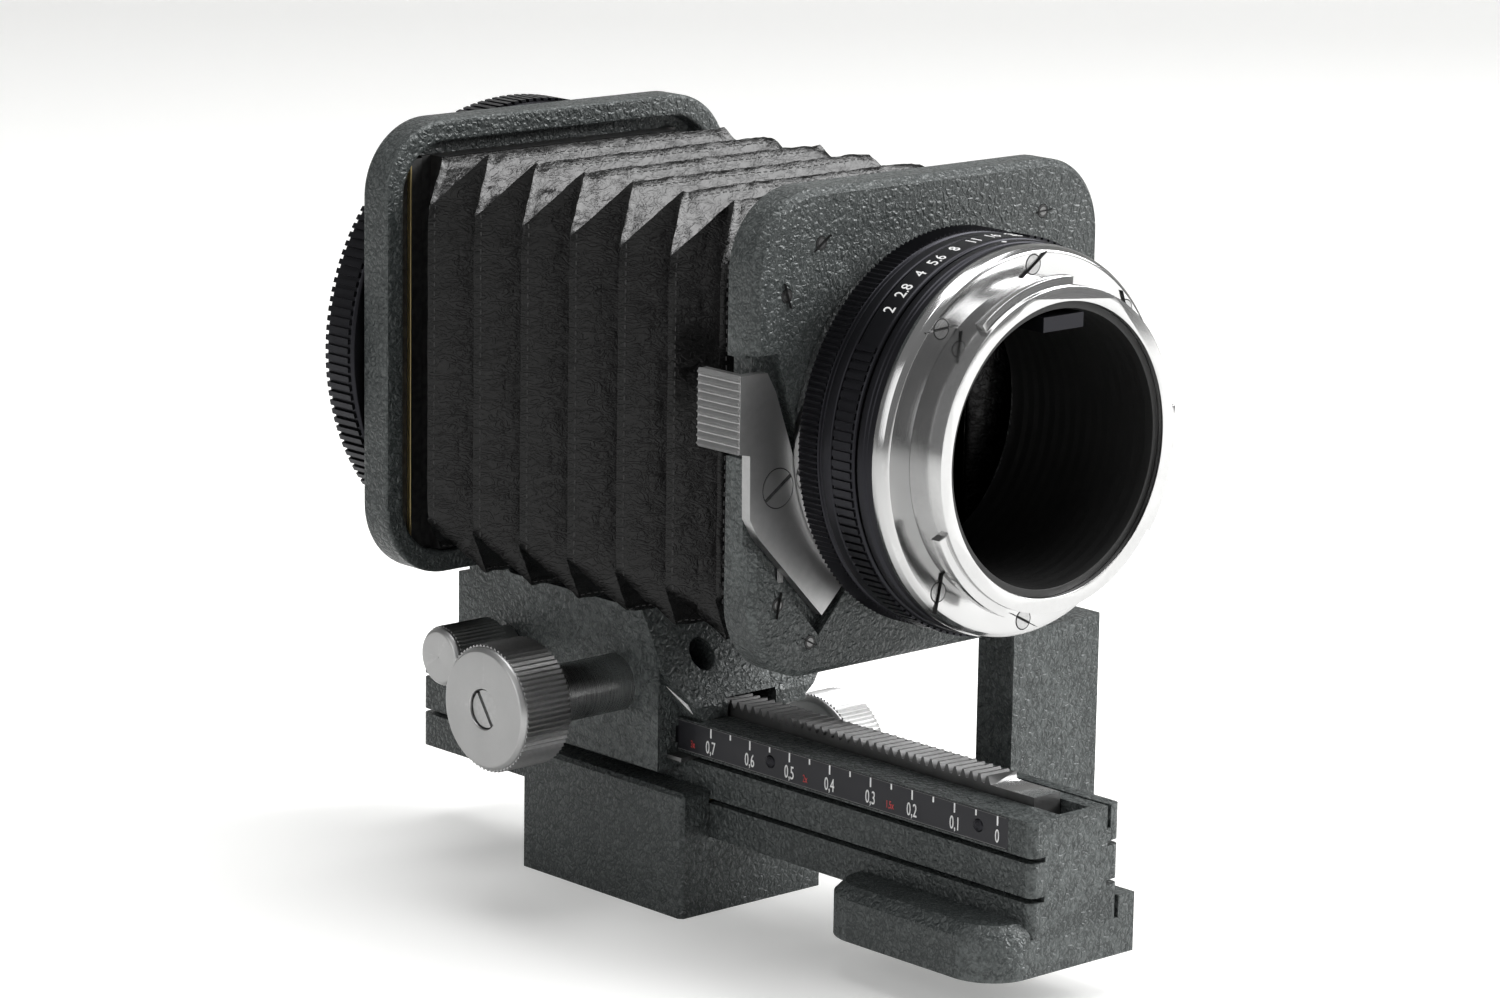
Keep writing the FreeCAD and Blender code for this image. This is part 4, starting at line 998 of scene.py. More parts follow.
        def fill(sheet: NodeSheet, given: bpy.types.NodeOutputs) -> bpy.types.NodeSocket:
            """Cuts a slot in one head and repeats it at every point."""
            head = sheet.add(
                "GeometryNodeMeshCylinder",
                {"Vertices": 40, "Radius": given["Radius"], "Depth": given["Depth"]},
            )
            half = sheet.maths("MULTIPLY", given["Depth"], -0.5)
            sunk = sheet.add("ShaderNodeCombineXYZ", {"Z": half})
            placed = sheet.add(
                "GeometryNodeTransform", {"Geometry": head.outputs["Mesh"], "Translation": sunk.outputs[0]}
            )
            long = sheet.maths("MULTIPLY", given["Radius"], 4.0)
            size = sheet.add("ShaderNodeCombineXYZ", {"X": long, "Y": given["Slot"], "Z": given["Depth"]})
            cutter = sheet.add("GeometryNodeMeshCube", {"Size": size.outputs[0]})
            parts = {0: placed.outputs[0], 1: cutter.outputs[0]}
            slotted = sheet.add("GeometryNodeMeshBoolean", parts, operation="DIFFERENCE")
            turn = sheet.add("FunctionNodeEulerToRotation", {0: given["Facing"]})
            index = sheet.add("GeometryNodeInputIndex")
            angle = sheet.maths("MULTIPLY_ADD", index.outputs[0], 1.3, 0.6)
            spin = sheet.add("ShaderNodeCombineXYZ", {"Z": angle})
            own = sheet.add("FunctionNodeEulerToRotation", {0: spin.outputs[0]})
            both = sheet.add(
                "FunctionNodeRotateRotation", {0: turn.outputs[0], 1: own.outputs[0]}, rotation_space="LOCAL"
            )
            many = sheet.add(
                "GeometryNodeInstanceOnPoints",
                {"Points": given["Geometry"], "Instance": slotted.outputs[0], "Rotation": both.outputs[0]},
            )
            return many.outputs[0]

        base = bpy.data.meshes.new("places")
        base.from_pydata([Vector(place) * MM for place in places], [], [])
        tree = cls.tree("slotted_heads", sockets, fill)
        values = {"Facing": facing, "Radius": radius * MM, "Depth": depth * MM, "Slot": slot * MM}
        return cls.grow(tree, base, {"Material": finish.material(), **values})


class Lettering:
    """Numbers cut from a plain letter face and laid on flat or round surfaces."""

    @staticmethod
    def shape(text: str, height: float, squeeze: float) -> bmesh.types.BMesh:
        """Makes a word lying flat, centred, with a little thickness.

        Args:
            text: The word.
            height: Its height.
            squeeze: Its width as a share of the plain width.

        Returns:
            The word's mesh, in millimetres.
        """
        curve = bpy.data.curves.new("word", "FONT")
        curve.body = text
        curve.extrude = 0.02
        curve.resolution_u = 3
        owner = bpy.data.objects.new("word", curve)
        bpy.context.scene.collection.objects.link(owner)
        graph = bpy.context.evaluated_depsgraph_get()
        flat = bpy.data.meshes.new_from_object(owner.evaluated_get(graph))
        bpy.data.objects.remove(owner)
        mesh = bmesh.new()
        mesh.from_mesh(flat)
        bpy.data.meshes.remove(flat)
        bmesh.ops.remove_doubles(mesh, verts=mesh.verts, dist=1e-5)
        across = [vert.co.x for vert in mesh.verts]
        up = [vert.co.y for vert in mesh.verts if "," not in text or vert.co.y > -0.02]
        scale = height / (max(up) - min(up))
        middle = Vector(((max(across) + min(across)) / 2.0, (max(up) + min(up)) / 2.0, 0.0))
        for vert in mesh.verts:
            place = (vert.co - middle) * scale
            vert.co = Vector((place.x * squeeze, place.y, place.z))
        return mesh

    @classmethod
    def lay(
        cls, text: str, height: float, squeeze: float, place: Callable[[float, float, float], Vector]
    ) -> bpy.types.Mesh:
        """Makes a word and puts each of its points where it belongs.

        Args:
            text: The word.
            height: Its height.
            squeeze: Its width as a share of the plain width.
            place: Gives a point in millimetres from (across, up, out).

        Returns:
            The placed mesh, in metres.
        """
        mesh = cls.shape(text, height, squeeze)
        for vert in mesh.verts:
            vert.co = place(*vert.co) * MM
        bmesh.ops.recalc_face_normals(mesh, faces=mesh.faces)
        made = bpy.data.meshes.new("word")
        mesh.to_mesh(made)
        mesh.free()
        return made


class NodeDresser:
    """Gives each node of the part that stays in view its finish."""

    def dress(self) -> None:
        """Sets one material on every node's mesh."""
        for name, node in frame["nodes"].items():
            finish = NODE_FINISHES.get(name, STEEL)
            node.data.materials.clear()
            node.data.materials.append(finish.material())


@dataclass
class Studio:
    """The camera, the floor, the backdrop and the lamps."""

    place_m: Point = (-0.56975, -0.6392, 0.2569)
    azimuth: float = -42.574
    elevation: float = 12.454
    roll: float = 0.933
    focal_pixels: float = 5073.4
    picture_width: float = 1500.0
    floor: Colour = (0.86, 0.86, 0.85, 1.0)

    def camera(self) -> None:
        """Places the camera of the photograph."""
        turn, rise, lean = (math.radians(value) for value in (self.azimuth, self.elevation, self.roll))
        back = Vector((math.sin(turn) * math.cos(rise), -math.cos(turn) * math.cos(rise), math.sin(rise)))
        right = (-back).cross(Vector((0.0, 0.0, 1.0))).normalized()
        up = right.cross(-back)
        side = math.cos(lean) * right + math.sin(lean) * up
        top = -math.sin(lean) * right + math.cos(lean) * up
        data = bpy.data.cameras.new("camera")
        data.sensor_width = 36.0
        data.lens = self.focal_pixels / self.picture_width * 36.0
        data.clip_start = 0.01
        data.clip_end = 50.0
        made = bpy.data.objects.new("camera", data)
        matrix = Matrix((side, top, back)).transposed().to_4x4()
        matrix.translation = Vector(self.place_m)
        made.matrix_world = matrix
        bpy.context.scene.collection.objects.link(made)
        bpy.context.scene.camera = made

    def backdrop(self) -> None:
        """Makes the pale floor that sweeps up behind the object."""
        mesh = bmesh.new()
        half, radius, top = 3.0, 0.8, 3.0
        profile = [(-4.0, 0.0), (1.2, 0.0)]
        profile += [
            (1.2 + radius * math.sin(math.radians(a)), radius * (1.0 - math.cos(math.radians(a))))
            for a in range(10, 91, 10)
        ]
        profile.append((1.2 + radius, top))
        rows = [[mesh.verts.new((side * half, run, rise)) for run, rise in profile] for side in (-1.0, 1.0)]
        for index in range(len(profile) - 1):
            mesh.faces.new((rows[0][index], rows[1][index], rows[1][index + 1], rows[0][index + 1]))
        turn = Matrix.Rotation(math.radians(self.azimuth), 4, "Z")
        bmesh.ops.transform(mesh, matrix=turn, verts=mesh.verts)
        data = bpy.data.meshes.new("floor")
        mesh.to_mesh(data)
        mesh.free()
        for face in data.polygons:
            face.use_smooth = True
        made = bpy.data.materials.new("floor_pale")
        made.use_nodes = True
        sheet = NodeSheet(made.node_tree)
        noise = sheet.add("ShaderNodeTexNoise", {"Scale": 3.0, "Detail": 2.0}).outputs["Fac"]
        colour = sheet.blend(noise, self.floor, tuple(value * 1.01 for value in self.floor[:3]) + (1.0,))
        seen = sheet.maths("MULTIPLY", sheet.add("ShaderNodeLightPath").outputs["Is Camera Ray"], 0.3)
        shader = sheet.add(
            "ShaderNodeBsdfPrincipled",
            {"Base Color": colour, "Roughness": 0.9, "Emission Color": colour, "Emission Strength": seen},
        )
        sheet.add("ShaderNodeOutputMaterial", {"Surface": shader.outputs[0]})
        data.materials.append(made)
        floor = bpy.data.objects.new("floor", data)
        bpy.context.scene.collection.objects.link(floor)

    def lamp(self, name: str, place: Point, aim: Point, size: float, power: float) -> None:
        """Adds one soft square lamp.

        Args:
            name: Its name.
            place: Where it hangs, metres.
            aim: What it points at, metres.
            size: Its width, metres.
            power: Its power, watts.
        """
        data = bpy.data.lights.new(name, "AREA")
        data.size = size
        data.energy = power
        made = bpy.data.objects.new(name, data)
        made.location = place
        made.rotation_euler = (Vector(aim) - Vector(place)).to_track_quat("-Z", "Y").to_euler()
        bpy.context.scene.collection.objects.link(made)

    def light(self) -> None:
        """Lights the scene softly and sets the plain view."""
        world = bpy.data.worlds.new("world")
        bpy.context.scene.world = world
        world.use_nodes = True
        sheet = NodeSheet(world.node_tree)
        sky = sheet.add("ShaderNodeBackground", {"Color": (1.0, 1.0, 1.0, 1.0), "Strength": 0.25})
        sheet.add("ShaderNodeOutputWorld", {"Surface": sky.outputs[0]})
        self.lamp("lamp_top", (0.1, -0.1, 1.1), (0.0, -0.02, 0.05), 0.9, 11.0)
        self.lamp("lamp_right", (0.9, -0.7, 0.7), (0.0, 0.0, 0.06), 0.7, 19.0)
        self.lamp("lamp_left", (-1.1, -0.1, 0.5), (0.0, 0.0, 0.06), 0.8, 3.0)
        bpy.context.scene.view_settings.view_transform = "Standard"

    def build(self) -> None:
        """Makes the camera, the floor and the lamps."""
        self.camera()
        self.backdrop()
        self.light()



@dataclass
class Castings:
    """The enamelled bodies, with their edges rounded."""

    widths: tuple[tuple[str, float], ...] = (
        ("rail", 0.22), ("front_foot", 0.7), ("tripod_block", 0.45), ("front_standard", 0.55),
        ("carriage", 0.35), ("rear_frame", 0.7),
    )

    def build(self) -> None:
        """Rounds a copy of each casting and puts it in the node's place."""
        for node, width in self.widths:
            mesh = Bench.copy_of(node)
            Bench.ease(mesh, width, 3, longer=0.8)
            made = Bench.piece(node + "_casting", mesh, [ENAMEL], node_body(node), 50.0, 14.0)
            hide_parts(node)


@dataclass
class ScaleStrip:
    """The black scale on the rail's left side, its marks, its numbers and its screws."""

    side: float = -10.15
    front: float = -92.4
    rear: float = 14.6
    low: float = 27.4
    high: float = 32.8
    zero: float = -90.0
    pitch: float = 9.82
    squeeze: float = 0.62
    screws: tuple[float, float] = (-85.659, -36.225)

    def at(self, reading: float) -> float:
        """Returns the place along the rail of a reading."""
        return self.zero + reading * 10.0 * self.pitch

    def word(
        self, mesh: bmesh.types.BMesh, text: str, along: float, up: float, height: float, slot: int
    ) -> None:
        """Adds one number to the strip.

        Args:
            mesh: The strip's mesh.
            text: The number.
            along: Its middle along the rail.
            up: Its middle's level.
            height: Its height.
            slot: Its material slot.
        """

        def place(across: float, rise: float, out: float) -> Vector:
            """Lays a point of the number on the strip's face."""
            return Vector((self.side - 0.03 - out, along - across, up + rise))

        Bench.gather(mesh, Lettering.lay(text, height, self.squeeze, place), slot)

    def build(self) -> None:
        """Builds the strip with its marks, then its screws."""
        face = self.side - 0.02
        mesh = Bench.block((face, self.front, self.low), (self.side + 0.45, self.rear, self.high), 0.35)
        for count, first, tall in ((8, 0.0, 1.6), (7, 0.05, 0.95)):
            start = (face * MM, self.at(first) * MM, (32.6 - tall / 2.0) * MM)
            values = {
                "Count": count,
                "First": start,
                "Step": (0.0, self.pitch * MM, 0.0),
                "Size": (0.05 * MM, 0.32 * MM, tall * MM),
            }
            Bench.gather(mesh, Growth.row(WHITE, **values), 1)
        for count in range(8):
            text = "0" if count == 0 else f"0,{count}"
            self.word(mesh, text, self.at(count / 10.0), 29.3, 2.25, 1)
        for text, along in (("1,5x", -65.3), ("2x", self.at(0.46)), ("3x", self.at(0.746))):
            self.word(mesh, text, along, 29.0, 1.25, 2)
        for low, high in ((self.low + 0.12, self.low + 0.24), (self.high - 0.2, self.high - 0.12)):
            line = Bench.block((face - 0.02, self.front + 0.5, low), (face + 0.05, self.rear - 0.5, high))
            data = bpy.data.meshes.new("line")
            line.to_mesh(data)
            line.free()
            Bench.gather(mesh, data, 3)
        made = Bench.piece("scale_strip", mesh, [SCALE, WHITE, RED, DIM], "rail")
        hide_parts("scale_plate")
        heads = bmesh.new()
        dome = [
            (0.25, 0.0), (0.25, 1.15), (0.0, 1.15), (-0.25, 0.95), (-0.36, 0.55), (-0.28, 0.5), (-0.28, 0.0),
        ]
        for along in self.screws:
            part = Bench.turn(dome, (self.side, along, 30.1), Axis.X, 32, 0.04)
            data = bpy.data.meshes.new("dome")
            part.to_mesh(data)
            part.free()
            Bench.gather(heads, data)
        made = Bench.piece("scale_screw_heads", heads, [BLACK], "rail")
        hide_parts("scale_screws")


@dataclass
class Standard:
    """What stands on the front plate: the lever, its pivot and the small set screws."""

    front: float = -62.0
    tab_left: float = -41.85
    tab: tuple[float, float] = (91.2, 103.7)
    ridges: int = 10
    pivot_place: tuple[float, float] = (-33.45, 84.7)
    set_screws: tuple[tuple[float, float], ...] = (
        (-24.95, 123.3), (-32.25, 115.6), (25.05, 123.6), (-33.05, 65.5), (-25.85, 58.3),
    )

    def build(self) -> None:
        """Builds the lever with its serrated tab, the pivot and the set screws."""
        mesh = Bench.copy_of("release_lever")
        Bench.ease(mesh, 0.35, 3, longer=0.5)
        step = (self.tab[1] - self.tab[0] - 0.9) / (self.ridges - 1)
        values = {
            "Count": self.ridges,
            "First": ((self.tab_left + 0.05) * MM, (self.front + 5.0) * MM, (self.tab[0] + 0.45) * MM),
            "Step": (0.0, 0.0, step * MM),
            "Size": (0.85 * MM, 9.5 * MM, 0.85 * MM),
            "Lean": (0.0, math.radians(45.0), 0.0),
        }
        Bench.gather(mesh, Growth.row(LEVER_SATIN, **values), 0)
        made = Bench.piece("lever_blade", mesh, [LEVER_SATIN], "lever", 40.0, 10.0)
        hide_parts("release_lever")
        across, up = self.pivot_place
        pivot = (across, Bench.front_of("lever_pivot_screw") - 0.05, up)
        heads = bmesh.new()
        facing = (math.radians(90.0), 0.0, 0.0)
        Bench.gather(heads, Growth.screws(LEVER_SATIN, [pivot], facing, 3.15, 1.6, 0.7))
        # Painted shade: a plain black disc a little wider than the pivot head, just behind it, stands in for
        # the shaded gap round the head.
        pivot_shade_disc = (pivot[0], pivot[1] + 0.12, pivot[2])
        Bench.gather(heads, Growth.screws(LINING_AND_SHADE, [pivot_shade_disc], facing, 3.4, 1.2, 0.0), 1)
        made = Bench.piece("lever_pivot_head", heads, [LEVER_SATIN, LINING_AND_SHADE], "rail")
        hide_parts("lever_pivot_screw")
        places = [(x, self.front - 0.06, z) for x, z in self.set_screws]
        heads = bmesh.new()
        Bench.gather(heads, Growth.screws(STEEL, places, facing, 0.72, 1.0, 0.3))
        # Painted shade: a plain black disc round each set screw stands in for its shaded hole.
        shade_discs = [(x, y + 0.03, z) for x, y, z in places]
        Bench.gather(heads, Growth.screws(LINING_AND_SHADE, shade_discs, facing, 1.1, 1.0, 0.0), 1)
        made = Bench.piece("set_screw_heads", heads, [STEEL, LINING_AND_SHADE], "rail")
        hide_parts("plate_set_screws")


@dataclass
class Adapter:
    """The bayonet adapter: black knurled barrel, aperture ring, step ring, flange, rim and inside."""

    centre: Point = (0.0, 0.0, 91.4)
    radius: float = 32.6
    screw_circle: float = 29.0
    screw_angles: tuple[float, ...] = (90.0, 42.0, 134.0, 228.0, 270.0, 318.0)
    stops: tuple[tuple[str, float], ...] = (
        ("2", 134.9), ("2.8", 127.7), ("4", 120.3), ("5.6", 113.1), ("8", 105.8), ("11", 98.1), ("16", 90.3),
        ("22", 82.5),
    )

    def ring(self, profile: Sequence[tuple[float, float]], soft: float = 0.25) -> bmesh.types.BMesh:
        """Turns one ring of the adapter.

        Args:
            profile: Its section as (along, radius).
            soft: Rounding of its corners.

        Returns:
            The ring's mesh.
        """
        return Bench.turn(profile, self.centre, Axis.Y, 160, soft)

    def ribs(
        self, count: int, span: float, first: float, radius: float, along: tuple[float, float],
        size: tuple[float, float], lean: float = 0.0,
    ) -> bpy.types.Mesh:
        """Grows black ribs on one band.

        Args:
            count: How many.
            span: The angle they cover, degrees.
            first: The first one's angle, degrees.
            radius: Radius of their middle.
            along: Where they start and end along the axis.
            size: Height and width of one.
            lean: Turn of each about its own length, degrees.

        Returns:
            The ribs' mesh.
        """
        values = {
            "Count": count,
            "Start": math.radians(first),
            "Step": math.radians(span / count),
            "Radius": radius * MM,
            "Along": sum(along) / 2.0 * MM,
            "Size": (size[0] * MM, (along[1] - along[0]) * MM, size[1] * MM),
            "Lean": math.radians(lean),
            "Facing": (0.0, 0.0, 0.0),
            "Centre": tuple(value * MM for value in self.centre),
        }
        return Growth.ribs(BLACK, **values)

    def number(self, text: str, degrees: float, along: float, radius: float, height: float) -> bpy.types.Mesh:
        """Lays a number round a band, read from the front.

        Args:
            text: The number.
            degrees: Its middle's angle.
            along: Its middle along the axis.
            radius: The band's radius.
            height: Its height.

        Returns:
            The number's mesh.
        """

        def place(across: float, rise: float, out: float) -> Vector:
            """Bends a point of the number round the band."""
            angle = math.radians(degrees) - across / radius
            reach = radius + 0.02 + out
            return Vector((reach * math.cos(angle), along + rise, self.centre[2] + reach * math.sin(angle)))

        return Lettering.lay(text, height, 0.75, place)

    def build(self) -> None:
        """Builds the rings from the plate outwards."""
        r = self.radius
        barrel = self.ring([
            (-65.0, 24.6), (-65.0, r - 0.7), (-65.5, r - 0.25), (-69.8, r - 0.25), (-70.0, r - 0.8),
            (-70.3, r - 0.8),
            (-70.5, r - 0.4), (-72.6, r - 0.4), (-72.9, r - 1.2), (-78.0, r - 1.2), (-78.0, 24.6)])
        Bench.gather(barrel, self.ribs(200, 360.0, 0.0, r - 0.28, (-69.7, -65.7), (0.62, 0.62), 45.0))
        made = Bench.piece("barrel_band", barrel, [BLACK], "adapter")
        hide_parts("adapter_barrel")
        grip = self.ring([
            (-73.05, r - 3.8), (-73.05, r - 0.5), (-73.4, r - 0.2), (-77.7, r - 0.2), (-78.05, r - 0.5),
            (-78.05, r - 3.8)])
        Bench.gather(grip, self.ribs(106, 293.0, 148.0, r - 0.12, (-77.6, -73.5), (0.55, 1.0)))
        for text, degrees in self.stops:
            Bench.gather(grip, self.number(text, degrees, -75.6, r - 0.2, 2.3), 1)
        made = Bench.piece("aperture_grip", grip, [BLACK, WHITE], "aperture", 40.0)
        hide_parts("aperture_ring")
        step = self.ring([
            (-78.2, 24.7), (-78.2, r - 0.9), (-78.5, r - 0.5), (-79.9, r - 0.5), (-80.2, r - 1.0),
            (-81.6, r - 1.0),
            (-81.6, 24.7)])
        dot = bmesh.new()
        wide = 0.42 * MM
        bmesh.ops.create_cone(dot, cap_ends=True, segments=20, radius1=wide, radius2=wide, depth=0.2 * MM)
        moved = Matrix.Translation(Vector((-1.4, -79.3, self.centre[2] + r - 0.56)) * MM)
        turned = Matrix.Rotation(math.radians(2.5), 4, "Y")
        bmesh.ops.transform(dot, matrix=moved @ turned, verts=dot.verts)
        data = bpy.data.meshes.new("dot")
        dot.to_mesh(data)
        dot.free()
        Bench.gather(step, data, 1)
        made = Bench.piece("step_band", step, [BLACK, WHITE], "adapter")
        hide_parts("step_ring")
        flange = self.ring([
            (-81.7, 24.7), (-81.7, 31.9), (-82.6, 31.98), (-83.7, 31.7), (-84.4, 31.1), (-84.5, 30.8),
            (-84.5, 30.6),
            (-84.5, 24.7)], 0.12)
        made = Bench.piece("flange_face", flange, [BRIGHT], "adapter")
        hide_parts("adapter_flange")
        circle, up = self.screw_circle, self.centre[2]
        places = [
            (circle * math.cos(math.radians(a)), -84.56, up + circle * math.sin(math.radians(a)))
            for a in self.screw_angles
        ]
        heads = bmesh.new()
        facing = (math.radians(90.0), 0.0, 0.0)
        Bench.gather(heads, Growth.screws(SATIN, places, facing, 1.5, 1.2, 0.42))
        # Painted shade: a plain black disc round each flange screw head stands in for the shaded gap round it.
        shade_discs = [(x, y + 0.05, z) for x, y, z in places]
        Bench.gather(heads, Growth.screws(LINING_AND_SHADE, shade_discs, facing, 1.72, 1.0, 0.0), 1)
        made = Bench.piece("flange_screw_heads", heads, [SATIN, LINING_AND_SHADE], "adapter")
        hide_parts("flange_screws")
        rim = Bench.copy_of("bayonet_rim")
        Bench.ease(rim, 0.25, 2, longer=0.3)
        made = Bench.piece("rim_with_lugs", rim, [BRIGHT], "adapter", 40.0)
        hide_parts("bayonet_rim")
        tube = self.ring([
            (-90.5, 22.7), (-90.5, 23.95), (-58.6, 23.95), (-58.6, 22.6)]
            + [(-60.0 - 1.2 * n, 22.6 + 0.07 * (n % 2)) for n in range(25)], 0.1)
        made = Bench.piece("ribbed_lining", tube, [LINING_AND_SHADE], "adapter")
        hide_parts("adapter_tube")
        seat = self.ring([
            (-62.0, 24.8), (-62.0, 30.4), (-62.5, 30.5), (-64.6, 30.5), (-64.95, 30.1), (-64.95, 24.8)])
        made = Bench.piece("seat_ring_turned", seat, [BRIGHT], "rail")
        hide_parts("lens_seat_ring")


@dataclass
class BellowsSkin:
    """The folded leather, cut at mid slopes into strips that follow the carriage by their share."""

    front: float = -55.5
    rear: float = 31.0
    folds: int = 14
    tall: tuple[float, float] = (27.0, 36.5)
    wide: tuple[float, float] = (35.0, 27.5)
    inset: float = 2.0
    up: float = 91.4
    rows: int = 16
    sides: int = 56
    soft: float = 0.006

    def wave(self, along: float) -> float:
        """Returns how far the fold is from tall, 0, to wide, 1, with rounded tips."""
        turn = (along - self.front) / (self.rear - self.front) * self.folds
        keep = 1.0 - self.soft
        low = math.acos(keep) / math.pi
        return (math.acos(keep * math.cos(math.pi * turn)) / math.pi - low) / (1.0 - 2.0 * low)

    def outline(self) -> list[tuple[float, float, Vector, float]]:
        """Returns the section as (u, v, outward, corner share), u and v from -1 to 1 of the half sizes."""
        made = []
        for side in range(4):
            for index in range(self.sides):
                share = -1.0 + 2.0 * index / self.sides
                near = max(0.0, 1.0 - (1.0 - abs(share)) * 7.0)
                u, v, out = [
                    (share, -1.0, Vector((0, 0, -1))), (1.0, share, Vector((1, 0, 0))),
                    (-share, 1.0, Vector((0, 0, 1))), (-1.0, -share, Vector((-1, 0, 0))),
                ][side]
                made.append((u, v, out, near))
        return made

    def point(self, along: float, u: float, v: float, out: Vector, near: float, lift: float = 0.0) -> Vector:
        """Returns a point of the leather in metres.

        Args:
            along: Place along the axis.
            u: Place across, as a share of the half width.
            v: Place up, as a share of the half height.
            out: The panel's outward direction.
            near: How near to a corner, 0 to 1.
            lift: Extra height over the leather.

        Returns:
            The point.
        """
        share = self.wave(along)
        last = max(0.0, 1.0 - (self.rear - along) / (self.rear - self.front) * self.folds)
        half_x = self.tall[0] + (self.wide[0] - self.tall[0]) * share
        half_z = self.tall[1] + (self.wide[1] - self.tall[1]) * share - self.inset * last
        base = Vector((u * half_x, along, self.up + v * half_z))
        ends = min(1.0, (along - self.front) / 1.5, (self.rear - along) / 1.5)
        level = abs(out.z) > 0.5
        seed = base * (0.34 if level else 0.2) + Vector((3.1, 0.0, 9.7))
        seed.z *= 1.0 if level else 2.2
        crease = abs(noise.noise(seed)) - 0.25
        fine = noise.noise(base * 0.9)
        amount = (0.85 if level else 0.34) * (0.5 + 0.5 * near)
        pull = -0.5 * math.sin(math.pi * min(1.0, max(0.0, share if level else 1.0 - share))) * (1.0 - near)
        push = crease * amount + fine * 0.1 + pull * (0.5 if level else 0.9) - 0.35 * near
        return (base + out * (push * max(0.0, ends) + lift)) * MM

    def strip(self, number: int) -> None:
        """Builds one strip with the stitches of its ridge.

        Args:
            number: The fold line that the strip lies around.
        """
        step = (self.rear - self.front) / self.folds
        low = self.front + max(0.0, number - 0.5) * step
        high = self.front + min(float(self.folds), number + 0.5) * step
        ring = self.outline()
        mesh = bmesh.new()
        grid = []
        for row in range(self.rows + 1):
            along = low + (high - low) * row / self.rows
            grid.append([mesh.verts.new(self.point(along, *item)) for item in ring])
        count = len(ring)
        for first, second in zip(grid, grid[1:]):
            for index in range(count):
                after = (index + 1) % count
                mesh.faces.new((first[index], first[after], second[after], second[index]))
        ridge = self.front + number * step
        sides = (1, 3) if number % 2 else (0, 2)
        for side in sides:
            for offset in (-0.75, 0.75):
                along = ridge + offset
                if not self.front + 4.0 < along < self.rear - 0.4:
                    continue
                items = ring[side * self.sides + 1:(side + 1) * self.sides]
                path = [self.point(along, *item, 0.04) for item in items]
                Bench.gather(mesh, Growth.stitches(THREAD, path, 0.7, 0.75, 0.1), 1)
        made = Bench.piece(f"bellows_strip_{number:02d}", mesh, [LEATHER_BLACK, THREAD], smooth=70.0)
        shares = [(value - self.front) / (self.rear - self.front) for value in (low, high)]
        times = [0.5 - math.sin(math.asin(1.0 - 2.0 * min(1.0, max(0.0, value))) / 3.0) for value in shares]
        reach = (high - low) / (times[1] - times[0])
        start = low - times[0] * reach
        place = (0.0, start * MM, self.up * MM)
        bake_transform(made, "rail", "carriage", start=place, end=(0.0, (start + reach) * MM, self.up * MM))
        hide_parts("bellows")

    def build(self) -> None:
        """Builds every strip."""
        for number in range(self.folds + 1):
            self.strip(number)


@dataclass
class RackTeeth:
    """The rack, with a painted highlight: the upward faces of the first teeth get the bright finish where the
    top light catches them.
    """

    bright_to: float = -80.5

    def build(self) -> None:
        """Gives the upper faces of the first teeth the bright finish, as a painted highlight."""
        mesh = Bench.copy_of("rack")
        for face in mesh.faces:
            # Painted highlight: the up-facing faces of the front teeth take the bright chrome.
            if face.calc_center_median().y < self.bright_to * MM and face.normal.z > 0.25:
                face.material_index = 1
        made = Bench.piece("rack_teeth", mesh, [STEEL, BRIGHT], node_body("rack"))
        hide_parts("rack")


